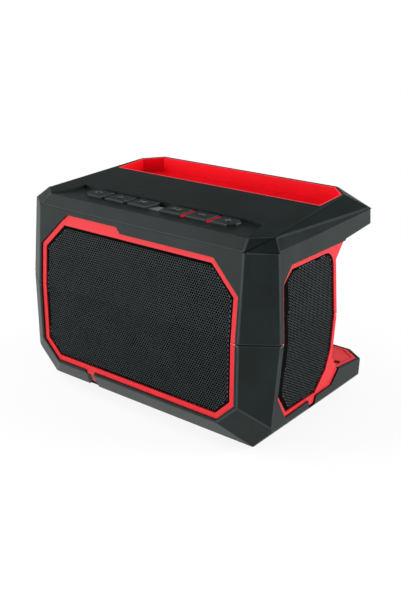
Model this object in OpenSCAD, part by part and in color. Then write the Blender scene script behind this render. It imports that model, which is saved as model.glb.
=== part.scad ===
// Jobsite speaker: faceted black covers over a red two-part housing, perforated grilles,
// a parts tray in the top, a row of six push buttons and a battery bay at the rear.
// Millimetres. Origin at the middle of the footprint on the ground, front faces -Y, +Z up.

/* [Body] */
// Width at the parting line
body_w = 240; // [232:1:250]
// Depth over the base
body_d = 149.2; // [144:0.2:158]
// Height of the parting line between the two halves
part_z = 84.4; // [80:0.2:88]
// Height of the front shoulder edge
shoulder_z = 147.4; // [146:0.2:149]
// How far each side leans in between parting line and shoulder
shoulder_in = 5.2; // [3:0.1:7]
// How far the front leans back between parting line and shoulder
lean = 5.3; // [4:0.1:6.5]
// Width of each corner pillar seen from the front, at the parting line
pillar_w = 23.1; // [21:0.1:25]
// How far each pillar's inner edge leans in up to the shoulder
pillar_lean = 0.6; // [0.2:0.1:2]
// How far each corner pillar runs back along the side
pillar_d = 16.6; // [14:0.2:19]

/* [Top] */
// Set-back of the front edge of the top from the front of the base
brow_d = 14.2; // [12.5:0.1:16]
// Height of the front edge of the top
brow_z = 154.7; // [153:0.1:157]
// Distance of the ends of the top's front edge from the shoulder edge
brow_in = 21.7; // [19.8:0.1:23.8]
// Rise of the top towards the rear, in degrees
top_rise = 4.17; // [3.6:0.01:4.8]
// Set-back of the rear of the top from the rear of the base
top_back = 8.7; // [6:0.1:12]
// Height of the side shoulder edge at the rear
rear_shoulder_z = 152.6; // [151:0.1:154]
// Fall of the side bevel across its own width at the front
side_bevel = 8; // [7:0.1:9]
// Distance of the ends of the top's rear edge from the side of the body
rear_edge_in = 35; // [32:0.2:38]
// Length of the rear corner facets along the side
rear_facet_d = 15.3; // [13:0.1:17]

/* [Base] */
// Height of the rubber feet under the base
foot_h = 1; // [0.6:0.1:2]
// Distance of the flat sole's edge from the side of the body
sole_in = 20; // [17:0.5:23]
// Height of the side chamfer
skirt_h = 17.65; // [16:0.05:19]
// How far each side leans in between parting line and chamfer
skirt_in = 3.4; // [2:0.1:5]
// Height of the front and rear bevels
toe_h = 19.3; // [17:0.1:21]
// Depth of the front and rear bevels
toe_d = 16.5; // [14:0.1:19]
// Distance of the ends of the front bevel's upper edge from the side of the body
toe_in = 41.1; // [38:0.1:45]
// Height at which the corner facets leave the pillars
corner_h = 36.5; // [34:0.1:40]
// Distance of the ends of the base's flat rear from the side of the body
rear_flat_in = 19.2; // [16:0.1:22]
// Length of the rear corner chamfers along the side
rear_corner_d = 13.2; // [11:0.1:16]

/* [Battery bay] */
// Depth of the bay from the rear of the base to the wall
bay_d = 58.1; // [56:0.1:60]
// Height of the shelf where it leaves the body
shelf_z = 36; // [34:0.1:38]
// Fall of the shelf to the rear of the base
shelf_fall = 4.6; // [3:0.1:6]
// Height of the overhang's underside at the wall
over_z = 137.4; // [136.6:0.1:138.2]
// Rise of the overhang's underside to its rear edge
over_rise = 3.4; // [2.5:0.1:4]
// Reach of the flares between the wall and the shelf or overhang
flare_d = 12.5; // [10:0.1:14]
// Height of the lower flare
low_flare_h = 13; // [10:0.5:16]
// Height of the upper flare
up_flare_h = 12.4; // [9:0.1:14]

/* [Walls and fits] */
// Wall of the black covers
cover_wall = 2.5; // [2:0.1:3]
// Wall of the red housing
housing_wall = 2.5; // [2:0.1:3]
// Gap between nested shells
fit_gap = 0.15; // [0.1:0.05:0.3]
// Gap of the parting line
seam = 0.5; // [0.4:0.1:0.8]
// Gap between a window edge and what stands in it
edge_gap = 0.25; // [0.2:0.05:0.4]
// Running gap between moving and fixed pieces
run_gap = 0.3; // [0.2:0.05:0.5]
// How far the red frames lie below the black covers
frame_sink = 1.2; // [0.8:0.1:1.6]

/* [Windows and grilles] */
// Distance of the front window from the side of the body
win_in = 25.8; // [25:0.1:29]
// Height of the front window's lower edge
win_low = 22.9; // [22.2:0.1:25]
// Height of the front window's upper edge
win_top = 139.4; // [136:0.1:141]
// Lower corner cut of the front window
win_cut_low = 14.9; // [12:0.1:18]
// Upper corner cut of the front window
win_cut_top = 22.1; // [18:0.1:25]
// Extra height of the raised pad at the upper left of the front frame
pad_h = 4.3; // [3:0.1:5]
// Length of the raised pad
pad_w = 50.4; // [42:0.2:58]
// Width of the red frame round the front grille
frame_w = 4.3; // [3.5:0.1:5]
// Black strip on the side between the pillar and the side window, at the parting line
side_strip = 3.7; // [3:0.1:5]
// How far the side window's front edge leans back from its foot to its top
side_lean = 4.6; // [3:0.1:6]
// Height of the side window's upper edge
side_top = 136.2; // [134:0.1:137]
// Height of the side window's lower edge
side_low = 24.2; // [23:0.1:26]
// Upper corner cut of the side window
side_cut_top = 10.8; // [9:0.1:13]
// Height of the lower corner cut of the side window
side_cut_h = 19.4; // [16:0.2:22]
// Length of the lower corner cut of the side window
side_cut_d = 12; // [10:0.2:14]
// Width of the red frame in front of the side grille
side_frame_front = 2; // [1.6:0.1:3]
// Width of the red frame above and below the side grille
side_frame_w = 3.6; // [3:0.1:4.2]
// Width of the red frame between the side grille and the bay wall
side_frame_rear = 3.4; // [3:0.1:5]
// Radius of the upper rear corner of the side grille
side_round = 10; // [8:0.5:12]
// Length of the slanted lower rear corner of the side grille
side_slant = 17; // [13:0.5:20]
// Height of the slanted lower rear corner of the side grille
side_slant_h = 29; // [24:0.5:34]
// Middle of the channel through the front bumper, at its upper edge
channel_x = -44.2; // [-52:0.2:-36]
// Width of the bumper channels
channel_w = 7.8; // [6:0.1:10]
// Sideways shift of the front channel at the sole
channel_shift = -13; // [-16:0.5:0]
// Middle of the channel through the side bumpers
side_channel_y = -8; // [-14:0.5:0]
// Thickness of the grille sheets
sheet_t = 1; // [0.8:0.1:1.2]
// How far the sheets lie below the red frames
sheet_sink = 0.9; // [0.7:0.1:1.4]
// Width of the ledge that a sheet rests on
ledge_w = 3; // [2:0.1:4]

/* [Tray] */
// Distance of the tray opening from the side of the body
tray_in = 21.25; // [20.75:0.25:26]
// Depth of the tray opening from front to rear
tray_d = 45.4; // [40:0.2:47]
// Rim between the tray opening and the rear of the top
tray_rim = 1.2; // [1.1:0.1:3]
// Rear corner cut of the tray opening
tray_cut = 13.8; // [13:0.2:16]
// Depth of the tray floor below its rear rim
tray_deep = 12.4; // [9:0.1:13.5]
// Wall of the tray
tray_wall = 1.8; // [1.4:0.1:2.4]

/* [Buttons] */
// Width of the row of six buttons
row_w = 142; // [136:0.5:148]
// Depth of a button
button_d = 15.6; // [13:0.1:17]
// Distance of the row's middle from the front edge of the top
row_y = 20.4; // [18.5:0.1:22]
// Gap between neighbouring buttons
button_gap = 3.6; // [2:0.1:4.2]
// Gap in the middle of the row
middle_gap = 12.4; // [11:0.2:16]
// Corner cut at the two ends of the row
end_cut = 5; // [3:0.1:7]
// Height of the buttons above the control deck
button_proud = 1.7; // [1.2:0.1:2]
// Travel of a button
button_travel = 0.8; // [0.5:0.1:1]
// Diameter of a button's stem
stem_d = 5; // [4:0.1:6]
// Drop of the control deck below the front edge of the top
deck_drop = 0.2; // [0.1:0.05:0.4]
// Thickness of the control deck
deck_t = 2.2; // [1.8:0.1:2.6]
// Slant of the deck's side edges, front to rear
deck_slant = 7.5; // [5:0.5:10]
// Depth of the sunk control deck from the front edge of the top
deck_d = 30.6; // [29.5:0.1:34]

/* [Drivers] */
// Diameter of a driver's flange
driver_d = 84; // [80:0.5:86]
// Distance of each driver from the middle
driver_x = 45; // [43.5:0.5:46]
// Width of a driver's rim outside its basket
rim_w = 8; // [7.5:0.1:9]
// Width of a driver's surround
surround_w = 7; // [6.5:0.1:9]
// Diameter of a driver's magnet
magnet_d = 60; // [50:0.5:64]
// Thickness of a driver's magnet
magnet_t = 14; // [10:0.5:18]
// Depth of a driver's basket
basket_d = 24; // [20:0.5:28]
// Diameter of the voice coil
coil_d = 25; // [20:0.5:28]
// Thickness of the baffles
baffle_t = 4; // [3:0.1:5]
// Distance of the front baffle from the front of the base
baffle_y = 16.6; // [15.5:0.1:18]
// Distance of the side baffles from the side of the body
side_baffle_in = 20; // [19:0.1:21]
// Room between a passive radiator and the walls before and behind it
radiator_room = 3; // [2:0.1:6]
// Width of a passive radiator's surround
radiator_rim = 9; // [8:0.1:12]
// Stroke of cones and radiators to each side of rest
stroke = 1.5; // [1:0.1:2]

/* [Boards] */
// How far the control board runs past each end of the button row
board_end = 4; // [3:0.5:7]
// Depth of the control board
control_d = 20; // [17:0.5:22]
// Thickness of the circuit boards
board_t = 1.6; // [1.2:0.1:2]
// Height of the tact switches
switch_h = 3; // [2.5:0.1:3.4]
// Width of the main board
main_w = 110; // [100:1:120]
// Depth of the main board
main_d = 46; // [40:1:50]
// Height of the main board's posts
main_post = 6; // [4:0.5:9]

/* [Battery dock] */
// Width of the dock
dock_w = 96; // [90:1:104]
// Height of the dock
dock_h = 66; // [60:1:70]
// Thickness of the dock plate
dock_t = 3; // [2.5:0.1:4]
// Spacing of the rails' inner faces
rail_gap = 44; // [40:0.5:48]
// Length of the rails
rail_l = 77; // [70:0.5:78]
// Height of the rails above the dock plate
rail_h = 8; // [6:0.5:10]

/* [Fasteners and feet] */
// Diameter of the long housing screws
bolt_d = 4; // [3.5:0.1:4.5]
// Diameter of the small screws
screw_d = 2.6; // [2.4:0.1:3]
// Distance of the housing screws from the side of the body
bolt_in = 30; // [28:0.5:32]
// Depth of the housing screws' heads below the parting line
bolt_low = 18; // [14:0.5:22]
// Reach of the housing screws above the parting line
bolt_reach = 19; // [16:0.5:22]
// Distance of the cover screws from the side of the body
cover_screw_in = 42; // [38:0.5:46]
// Distance of the overhang panel's screws from the side of the body
panel_screw_in = 44; // [40:0.5:50]
// Distance of the shelf plate's screws from the side of the body
shelf_screw_in = 12; // [11:0.5:14]
// Distance of the button bed's screws from the middle
bed_screw_x = 50; // [46:0.5:56]
// Distance of the base screws from the side of the body
base_screw_in = 80; // [74:0.5:86]
// Distance of the feet from the side of the body
foot_in = 52; // [46:0.5:58]
// Diameter of the rubber feet
foot_d = 18; // [14:0.5:22]

/* [Hidden] */
$fn = 64;

// Colours of the pieces
black = "#26292a";
red = "#e0262c";
steel = "#4a4f50";
grey = "#8d9092";
green = "#1f5a3a";
brass = "#c9a24a";

// Overall half sizes
half_w = body_w / 2;
half_d = body_d / 2;
far = 2 * body_w;
inner_wall = cover_wall + fit_gap + housing_wall;

// Widths that follow the body's width
shoulder_w = body_w - 2 * shoulder_in;
flat_w = body_w - 2 * pillar_w;
flat_top_w = flat_w - 2 * pillar_lean;
brow_w = shoulder_w - 2 * brow_in;
rear_edge_x = half_w - rear_edge_in;
sole_w = body_w - 2 * sole_in;
skirt_w = body_w - 2 * skirt_in;
toe_w = body_w - 2 * toe_in;
rear_flat_w = body_w - 2 * rear_flat_in;
win_w = body_w - 2 * win_in;
tray_w = body_w - 2 * tray_in;
side_baffle_x = half_w - side_baffle_in;

// Heights of the base's edges
skirt_z = foot_h + skirt_h;
toe_z = foot_h + toe_h;
corner_z = foot_h + corner_h;

// Places along the depth
shoulder_y = -half_d + lean;
brow_y = -half_d + brow_d;
top_rear_y = half_d - top_back;
wall_y = half_d - bay_d;
flare_y = wall_y + flare_d;
pillar_y = -half_d + pillar_d;

// Height of the top plane and half width of the leaning sides
function top_z(y) = brow_z + (y - brow_y) * tan(top_rise);
function side_x(z) = half_w - (body_w - shoulder_w) / 2 * (z - part_z) / (shoulder_z - part_z);
function low_side_x(z) = half_w - (body_w - skirt_w) / 2 * (part_z - z) / (part_z - skirt_z);

// A plane is [point, outward normal]. The core is a point inside every plane.
core = [0, 0, part_z];
function facing_out(p, n) = n * (core - p) > 0 ? [p, -n] : [p, n];
function plane_of(a, b, c) = facing_out(a, cross(b - a, c - a));
function flip_x(v) = [-v[0], v[1], v[2]];
function both_sides(planes) = [
    for (pl = planes) each [pl, [flip_x(pl[0]), flip_x(pl[1])]]
];

// Corner points of the right half that the facets pass through
pillar_low = [flat_w / 2, -half_d, part_z];
pillar_back = [half_w, pillar_y, part_z];
pillar_top = [flat_top_w / 2, shoulder_y, shoulder_z];
shoulder_corner = [
    shoulder_w / 2,
    shoulder_y + (shoulder_w - flat_top_w) / 2 * pillar_d / (half_w - flat_w / 2),
    shoulder_z
];
brow_corner = [brow_w / 2, brow_y, brow_z];
rear_shoulder = [side_x(rear_shoulder_z), top_rear_y, rear_shoulder_z];
side_bevel_top = [shoulder_w / 2 - side_bevel, shoulder_corner[1], shoulder_z + side_bevel];
rear_edge = [rear_edge_x, top_rear_y, top_z(top_rear_y)];
rear_facet_end = [
    rear_edge_x + rear_facet_d, top_rear_y - rear_facet_d, top_z(top_rear_y - rear_facet_d)
];

// How far a facet runs past the corner it starts from, so that no four planes share a point
facet_over = 0.4;

// Narrow facets that draw the top's side edges in towards the tray's rear corners
rim_start_d = 15;
rim_start = [side_bevel_top[0] - facet_over, brow_y + rim_start_d, top_z(brow_y + rim_start_d)];
rim_end = rear_facet_end - [2 * facet_over, 0, 0];

upper_planes = concat(
    [
        plane_of([0, -half_d, part_z], [1, -half_d, part_z], [0, shoulder_y, shoulder_z]),
        plane_of([0, shoulder_y, shoulder_z], [1, shoulder_y, shoulder_z], [0, brow_y, brow_z]),
        [[0, brow_y, brow_z], [0, -sin(top_rise), cos(top_rise)]],
        [[0, top_rear_y, 0], [0, 1, 0]]
    ],
    both_sides([
        plane_of([half_w, 0, part_z], [half_w, 1, part_z], [shoulder_w / 2, 0, shoulder_z]),
        plane_of(pillar_low, pillar_back, pillar_top),
        plane_of(
            pillar_top - [facet_over, 0, 0], shoulder_corner + [0, facet_over, 0], brow_corner
        ),
        plane_of(shoulder_corner, rear_shoulder, side_bevel_top),
        plane_of(rim_start, rim_end, rear_shoulder),
        plane_of(rear_edge, rear_facet_end, rear_shoulder - [0, 0, facet_over])
    ])
);

lower_planes = concat(
    [
        [[0, 0, foot_h], [0, 0, -1]],
        [[0, -half_d, 0], [0, -1, 0]],
        [[0, half_d, 0], [0, 1, 0]],
        [[0, -half_d, toe_z], [0, -toe_h, -toe_d]],
        [[0, half_d, toe_z], [0, toe_h, -toe_d]]
    ],
    both_sides([
        plane_of([half_w, 0, part_z], [half_w, 1, part_z], [skirt_w / 2, 0, skirt_z]),
        plane_of([skirt_w / 2, 0, skirt_z], [skirt_w / 2, 1, skirt_z], [sole_w / 2, 0, foot_h]),
        [pillar_low, [pillar_d, -(half_w - flat_w / 2), 0]],
        plane_of(
            [flat_w / 2, -half_d, corner_z],
            [toe_w / 2, -half_d, toe_z],
            [sole_w / 2, -half_d + toe_d, foot_h]
        ),
        [
            [rear_flat_w / 2, half_d, 0],
            [rear_corner_d, low_side_x(shelf_z) - rear_flat_w / 2, 0]
        ]
    ])
);

// Everything behind one plane, moved inwards by an inset
module behind(pl, inset) {
    n = pl[1] / norm(pl[1]);
    translate(pl[0] - n * inset)
        rotate([0, acos(n[2]), atan2(n[1], n[0])])
            translate([-far, -far, -2 * far])
                cube(2 * far);
}

module upper_form(inset) {
    intersection_for (pl = upper_planes) behind(pl, inset);
}

module lower_form(inset) {
    intersection_for (pl = lower_planes) behind(pl, inset);
}

// A slab between two heights
module slab(low, high) {
    translate([-far / 2, -far / 2, low]) cube([far, far, high - low]);
}

// The upper and lower forms joined at the parting line
module whole_form(inset) {
    intersection() {
        upper_form(inset);
        slab(part_z, far);
    }
    intersection() {
        lower_form(inset);
        slab(-far / 2, part_z);
    }
}

// Moves every edge of a convex outline, listed anticlockwise, inwards by d
function edge_in(a, b, d) = [a + d * [a[1] - b[1], b[0] - a[0]] / norm(b - a), b - a];
function meet(e, f) =
    e[0] + e[1] * ((f[0] - e[0])[0] * f[1][1] - (f[0] - e[0])[1] * f[1][0])
        / (e[1][0] * f[1][1] - e[1][1] * f[1][0]);
function inset_outline(p, d) = [
    for (i = [0 : len(p) - 1])
        let (n = len(p), before = p[(i + n - 1) % n], after = p[(i + 1) % n])
            meet(edge_in(before, p[i], d), edge_in(p[i], after, d))
];

// A front outline in X and Z carried through the front wall, from a depth behind the shoulder
module through_front(outline, depth = inner_wall + 1) {
    translate([0, shoulder_y + depth, 0])
        rotate([90, 0, 0])
            linear_extrude(height = depth + lean + 10)
                polygon(outline);
}

// A side outline in Y and Z carried out through one side wall
module through_side(outline, side) {
    mirror([side < 0 ? 1 : 0, 0, 0])
        translate([side_x(side_top) - inner_wall - 1, 0, 0])
            rotate([90, 0, 90])
                linear_extrude(height = half_w)
                    polygon(outline);
}

// A side outline in Y and Z carried across the whole width
module across(outline) {
    translate([-far / 2, 0, 0]) rotate([90, 0, 90]) linear_extrude(height = far) polygon(outline);
}

// Heights of the sloping shelf and of the overhang's sloping underside
function shelf_at(y) = shelf_z - shelf_fall * (y - flare_y) / (half_d - flare_y);
function over_at(y) = over_z + over_rise * (y - flare_y) / (top_rear_y - flare_y);

// How far the cut of the bay runs past the rear of the base
bay_past = 20;

// The battery bay, grown into the body by g, with its floor lowered by drop
module bay(g, drop) {
    rear = half_d + bay_past;
    across([
        [wall_y - g, shelf_z + low_flare_h - g / 2],
        [flare_y - g / 2, shelf_z - drop - g],
        [rear, shelf_at(rear) - drop - g],
        [rear, over_at(rear) + g],
        [flare_y - g / 2, over_z + g],
        [wall_y - g, over_z - up_flare_h + g / 2]
    ]);
}

// Front window of the covers and the pad that widens it at the upper left
window = [
    [-win_w / 2 + win_cut_low, win_low], [win_w / 2 - win_cut_low, win_low],
    [win_w / 2, win_low + win_cut_low], [win_w / 2, win_top - win_cut_top],
    [win_w / 2 - win_cut_top, win_top], [-win_w / 2 + win_cut_top, win_top],
    [-win_w / 2, win_top - win_cut_top], [-win_w / 2, win_low + win_cut_low]
];
pad_gap = 0.8;
pad_left = -win_w / 2 + win_cut_top + pad_h + pad_gap;
pad_right = pad_left + pad_w;
pad = [
    [pad_left - pad_h, win_top - pad_h], [pad_right + pad_h, win_top - pad_h],
    [pad_right + pad_h, win_top], [pad_right, win_top + pad_h],
    [pad_left, win_top + pad_h], [pad_left - pad_h, win_top]
];
grille_opening = inset_outline(window, frame_w);

// Side window of the covers, open towards the bay. Its front edge leans back with height.
side_mid = pillar_y + side_strip;
function side_front(z) = side_mid + side_lean * (z - part_z) / (side_top - side_low);
side_foot = [side_front(side_low + side_cut_h), side_low + side_cut_h];
side_brow = [side_front(side_top - side_cut_top), side_top - side_cut_top];
side_window = [
    side_foot, [side_foot[0] + side_cut_d, side_low],
    [wall_y + 2, side_low + 1.5], [flare_y - 1, shelf_z + 0.5], [half_d + 10, shelf_z + 0.5],
    [half_d + 10, side_top], [side_brow[0] + side_cut_top, side_top], side_brow
];
// Part of the side window that the red frame fills, up to the bay's flares
side_frame = [
    side_window[0], side_window[1], side_window[2], side_window[3],
    [flare_y - 1, side_top], side_window[6], side_window[7]
];
// Side grille opening, with a round upper rear corner and a slanted lower rear one
side_rear = wall_y - side_frame_rear;
grille_low = side_low + side_frame_w;
grille_top = side_top - side_frame_w;
round_mid = [side_rear - side_round, grille_top - side_round];
side_opening = concat(
    [
        side_foot + [side_frame_front, 1],
        [side_foot[0] + side_cut_d + side_frame_w / 2, grille_low],
        [side_rear - side_slant, grille_low],
        [side_rear - side_slant / 4, grille_low + side_slant_h / 2],
        [side_rear, grille_low + side_slant_h]
    ],
    [for (a = [0 : 18 : 90]) round_mid + side_round * [cos(a), sin(a)]],
    [
        [side_brow[0] + side_cut_top + side_frame_w / 2, grille_top],
        side_brow + [side_frame_front, -1]
    ]
);

// Channels that part the bumper, as front and side outlines: wider at the window and at the sole
function channel(mid, foot, bend_z, high) = [
    [mid - channel_w / 2 - channel_flare, high], [mid - channel_w / 2, bend_z],
    [foot - channel_w / 2 - channel_flare, 0], [foot + channel_w / 2 + channel_flare, 0],
    [mid + channel_w / 2, bend_z], [mid + channel_w / 2 + channel_flare, high]
];
channel_flare = 1.5;
front_channel = channel(channel_x, channel_x + channel_shift, toe_z, win_low + 2);
side_channel = channel(side_channel_y, side_channel_y, skirt_z + 1, side_low + 2);
// Short red tongues that reach into the channels from the frames
function tongue(c) = [c[1], c[4], c[5], c[0]];

// Depth of the sheets' faces below the outer form
sheet_in = frame_sink + sheet_sink;
seat_in = sheet_in + sheet_t + 0.1;
cloth_t = 0.4;

// Roof of the housing and the stack of pieces under the buttons
roof_z = over_z + housing_wall;
deck_z = brow_z - deck_drop;
deck_low = deck_z - deck_t;
deck_rear = brow_y + deck_d;
flange_t = 1.2;
flange_out = 1.4;
flange_top = deck_low - run_gap;
flange_low = flange_top - flange_t;
board_post = 1;
control_top = roof_z + board_post + board_t;
switch_top = control_top + switch_h;
stem_low = switch_top + button_travel + 0.2;
bed_t = 1.8;
bed_top = flange_low - button_travel - 0.4;
bed_low = bed_top - bed_t;
left_land_drop = 1;
right_land_drop = 1.1;
middle_land_drop = 2.8;
left_land_z = deck_z - left_land_drop;
right_land_z = deck_z + button_proud - right_land_drop;
middle_land_z = deck_z - middle_land_drop;
row_mid = brow_y + row_y;
control_w = row_w + 2 * board_end;

// Six buttons: three each side of the middle gap
button_w = ((row_w - middle_gap) / 2 - 2 * button_gap) / 3;
function button_left(i) = i < 3
    ? -row_w / 2 + i * (button_w + button_gap)
    : middle_gap / 2 + (i - 3) * (button_w + button_gap);
function button_mid(i) = button_left(i) + button_w / 2;

// Outline of the whole row, with cut ends
row_outline = [
    [-row_w / 2, row_mid - button_d / 2 + end_cut], [-row_w / 2 + end_cut, row_mid - button_d / 2],
    [row_w / 2 - end_cut, row_mid - button_d / 2], [row_w / 2, row_mid - button_d / 2 + end_cut],
    [row_w / 2, row_mid + button_d / 2 - end_cut], [row_w / 2 - end_cut, row_mid + button_d / 2],
    [-row_w / 2 + end_cut, row_mid + button_d / 2], [-row_w / 2, row_mid + button_d / 2 - end_cut]
];

// Tray opening in the top
tray_rear = top_rear_y - tray_rim;
tray_front = tray_rear - tray_d;
tray_outline = [
    [-tray_w / 2, tray_front], [tray_w / 2, tray_front],
    [tray_w / 2, tray_rear - tray_cut], [tray_w / 2 - tray_cut, tray_rear],
    [-tray_w / 2 + tray_cut, tray_rear], [-tray_w / 2, tray_rear - tray_cut]
];
tray_floor = top_z(top_rear_y) - tray_deep;
tray_low = tray_floor - tray_wall;
tray_sink = 0.3;
panel_top = over_z + over_rise + 2;

// Places of the fasteners
panel_edge = 9;
shelf_screw_back = 11;
baffle_front = -half_d + baffle_y;
baffle_rear = baffle_front + baffle_t;
well_places = [for (x = [-1, 1], y = [baffle_rear + 10, wall_y - 12]) [x * (half_w - bolt_in), y]];
cover_places = [for (x = [-1, 1], y = [deck_rear + 10, tray_front - 12]) [x * (half_w - cover_screw_in), y]];
panel_rows = [flare_y + panel_edge, tray_rear - panel_edge - 5];
panel_places = [for (x = [-1, 1], y = panel_rows) [x * (half_w - panel_screw_in), y]];
foot_places = [for (x = [-1, 1], y = [-1, 1]) [x * (half_w - foot_in), y * (half_d - toe_d - 12)]];
base_places = [for (x = [-1, 1], y = [-1, 1]) [x * (half_w - base_screw_in), y * (half_d - toe_d - 14)]];
shelf_places = [for (x = [-1, 1]) [x * (half_w - shelf_screw_in), flare_y + shelf_screw_back]];
main_y = -12;
main_places = [for (x = [-1, 1], y = [-1, 1]) [x * (main_w / 2 - 4), main_y + y * (main_d / 2 - 4)]];
control_places = [for (x = [-1, 1]) [x * (control_w / 2 - 4), row_mid]];
bed_places = [for (x = [-1, 1], y = [-1, 1]) [x * bed_screw_x, row_mid + y * (control_d / 2 + 3.2)]];
dock_z = (shelf_z + over_z) / 2 + 2;
dock_places = [for (x = [-1, 1], z = [-1, 1]) [x * (dock_w / 2 - 5), dock_z + z * (dock_h / 2 - 4)]];
dock_face = wall_y + dock_t;
rail_t = 4;
lip_t = 2.6;
lip_w = 3;
block_w = 14;
block_h = 32;
terminal_l = 20;
terminal_t = 0.8;
terminal_w = 7;
terminal_pitch = 9;
well_d = 7.8;
well_top = part_z - bolt_low;
boss_wall = 2;
boss_d = 8;
pillar_post_d = 6;
driver_z = part_z - 2.4;
radiator_d = wall_y - housing_wall - baffle_rear - 2 * radiator_room;
plate_d = radiator_d - 2 * radiator_rim;
radiator_y = (baffle_rear + wall_y - housing_wall) / 2;
floor_top = foot_h + inner_wall;
roof_low = roof_z - housing_wall;
hole_play = 0.1;
cover_screw_l = 9.5;
panel_screw_l = 6.5;
shelf_screw_l = 3.2;
panel_floor = 2;
plate_floor = 0.7;
switch_w = 6;
plunger_d = 3.2;
plunger_h = 1;
led_w = 3;
led_h = 0.9;

// Shelf plate, seal, lens and main board
plate_t = 3;
plate_sink = 0.3;
panel_margin = 3.4;
groove_w = 1.2;
groove_deep = 1.1;
seal_in = 0.4;
lens_d = 4;
lens_proud = 3;
lens_deep = 1.2;
lens_edge = 0.8;
lens_low = middle_land_z - lens_deep;
lens_front = row_mid - button_d / 2 + lens_edge;
lens_wide = middle_gap / 2 - 1.5 * lens_edge;
lens_narrow = lens_d / 2 + lens_edge / 2;
lens_outline = [
    [-lens_wide, lens_front], [lens_wide, lens_front],
    [lens_narrow, row_mid + lens_d / 2], [-lens_narrow, row_mid + lens_d / 2]
];
main_low = floor_top + main_post;
main_top = main_low + board_t;

// Components of the main board
cap_d = 9;
cap_h = 16;
cap_pitch = 12;
chip_w = 18;
chip_t = 3;
fin_t = 2;
fin_h = 8;
fin_pitch = 4;
coil_w = 10;
coil_h = 7;
radio_l = 18;
radio_w = 14;

// Driver frames and their screws
driver_pcd = driver_d - 7;
driver_angles = [45, 135, 225, 315];
basket_top_d = driver_d - 2 * rim_w;
basket_hole_d = basket_top_d + 1;
cone_d = basket_top_d - 2 * surround_w;
flange_plate_t = 2;
vent_w = 18;
vent_l = 20;
vent_z = 7;

// An upright round post
module post(place, d, low, high) {
    translate([place[0], place[1], low]) cylinder(d = d, h = high - low);
}

// A screw that points up: head below, shank above
module screw_up(place, d, seat_z, length) {
    post(place, d, seat_z - 0.01, seat_z + length);
    post(place, 1.8 * d, seat_z - 0.6 * d, seat_z);
}

// A screw that points down: head above, shank below
module screw_down(place, d, seat_z, length) {
    post(place, d, seat_z - length, seat_z + 0.01);
    post(place, 1.8 * d, seat_z, seat_z + 0.6 * d);
}

// Covers

module top_cover() color(black) difference() {
    union() {
        difference() {
            intersection() {
                upper_form(0);
                slab(part_z + seam / 2, far);
            }
            upper_form(cover_wall);
        }
        intersection() {
            upper_form(0.5);
            union() {
                linear_extrude(height = deck_z) deck_plan(3);
                for (p = cover_places) post(p, boss_d, roof_z, top_z(p[1]));
            }
            union() {
                slab(deck_low, deck_z);
                for (p = cover_places) post(p, boss_d, roof_z, top_z(p[1]));
            }
        }
    }
    through_front(window);
    through_front(pad);
    for (s = [-1, 1]) through_side(side_window, s);
    bay(0, 0);
    translate([0, 0, tray_low]) linear_extrude(height = far) polygon(tray_outline);
    translate([0, 0, deck_z]) linear_extrude(height = far) deck_plan(0);
    translate([0, 0, flange_low]) linear_extrude(height = far)
        polygon(inset_outline(row_outline, -run_gap));
    for (p = cover_places) post(p, screw_d + 2 * hole_play, roof_z - 1, roof_z + 8);
}

// Plan of the sunk control deck, grown by g
module deck_plan(g) {
    polygon([
        [-brow_w / 2 - g, brow_y - 2], [brow_w / 2 + g, brow_y - 2],
        [brow_w / 2 - deck_slant + g, deck_rear + g], [-brow_w / 2 + deck_slant - g, deck_rear + g]
    ]);
}

module base_cover() color(black) difference() {
    intersection() {
        lower_form(0);
        slab(0, part_z - seam / 2);
    }
    lower_form(cover_wall);
    through_front(window);
    through_front(front_channel, toe_d - lean + 2);
    for (s = [-1, 1]) {
        through_side(side_window, s);
        through_side(side_channel, s);
    }
    bay(0, 0);
    for (p = well_places) post(p, well_d, 0, floor_top);
    for (p = base_places) post(p, screw_d + 2 * hole_play, 0, floor_top);
    for (p = base_places) post(p, 2 * screw_d, 0, foot_h + 0.7 * screw_d);
}

// Housing

// Red housing between two heights: nested shell plus the frames that stand in the windows
module housing_skin(low, high) {
    intersection() {
        union() {
            whole_form(cover_wall + fit_gap);
            intersection() {
                whole_form(frame_sink);
                union() {
                    through_front(inset_outline(window, edge_gap));
                    through_front(inset_outline(pad, edge_gap));
                    through_front(inset_outline(tongue(front_channel), edge_gap));
                    for (s = [-1, 1]) {
                        through_side(inset_outline(side_frame, edge_gap), s);
                        through_side(inset_outline(tongue(side_channel), edge_gap), s);
                    }
                }
            }
        }
        slab(low, high);
    }
}

// Seats and openings for the three grilles
module grille_seats() {
    difference() {
        union() {
            through_front(grille_opening);
            for (s = [-1, 1]) through_side(side_opening, s);
        }
        whole_form(seat_in);
    }
    through_front(inset_outline(grille_opening, ledge_w));
    for (s = [-1, 1]) through_side(inset_outline(side_opening, ledge_w), s);
}

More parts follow.
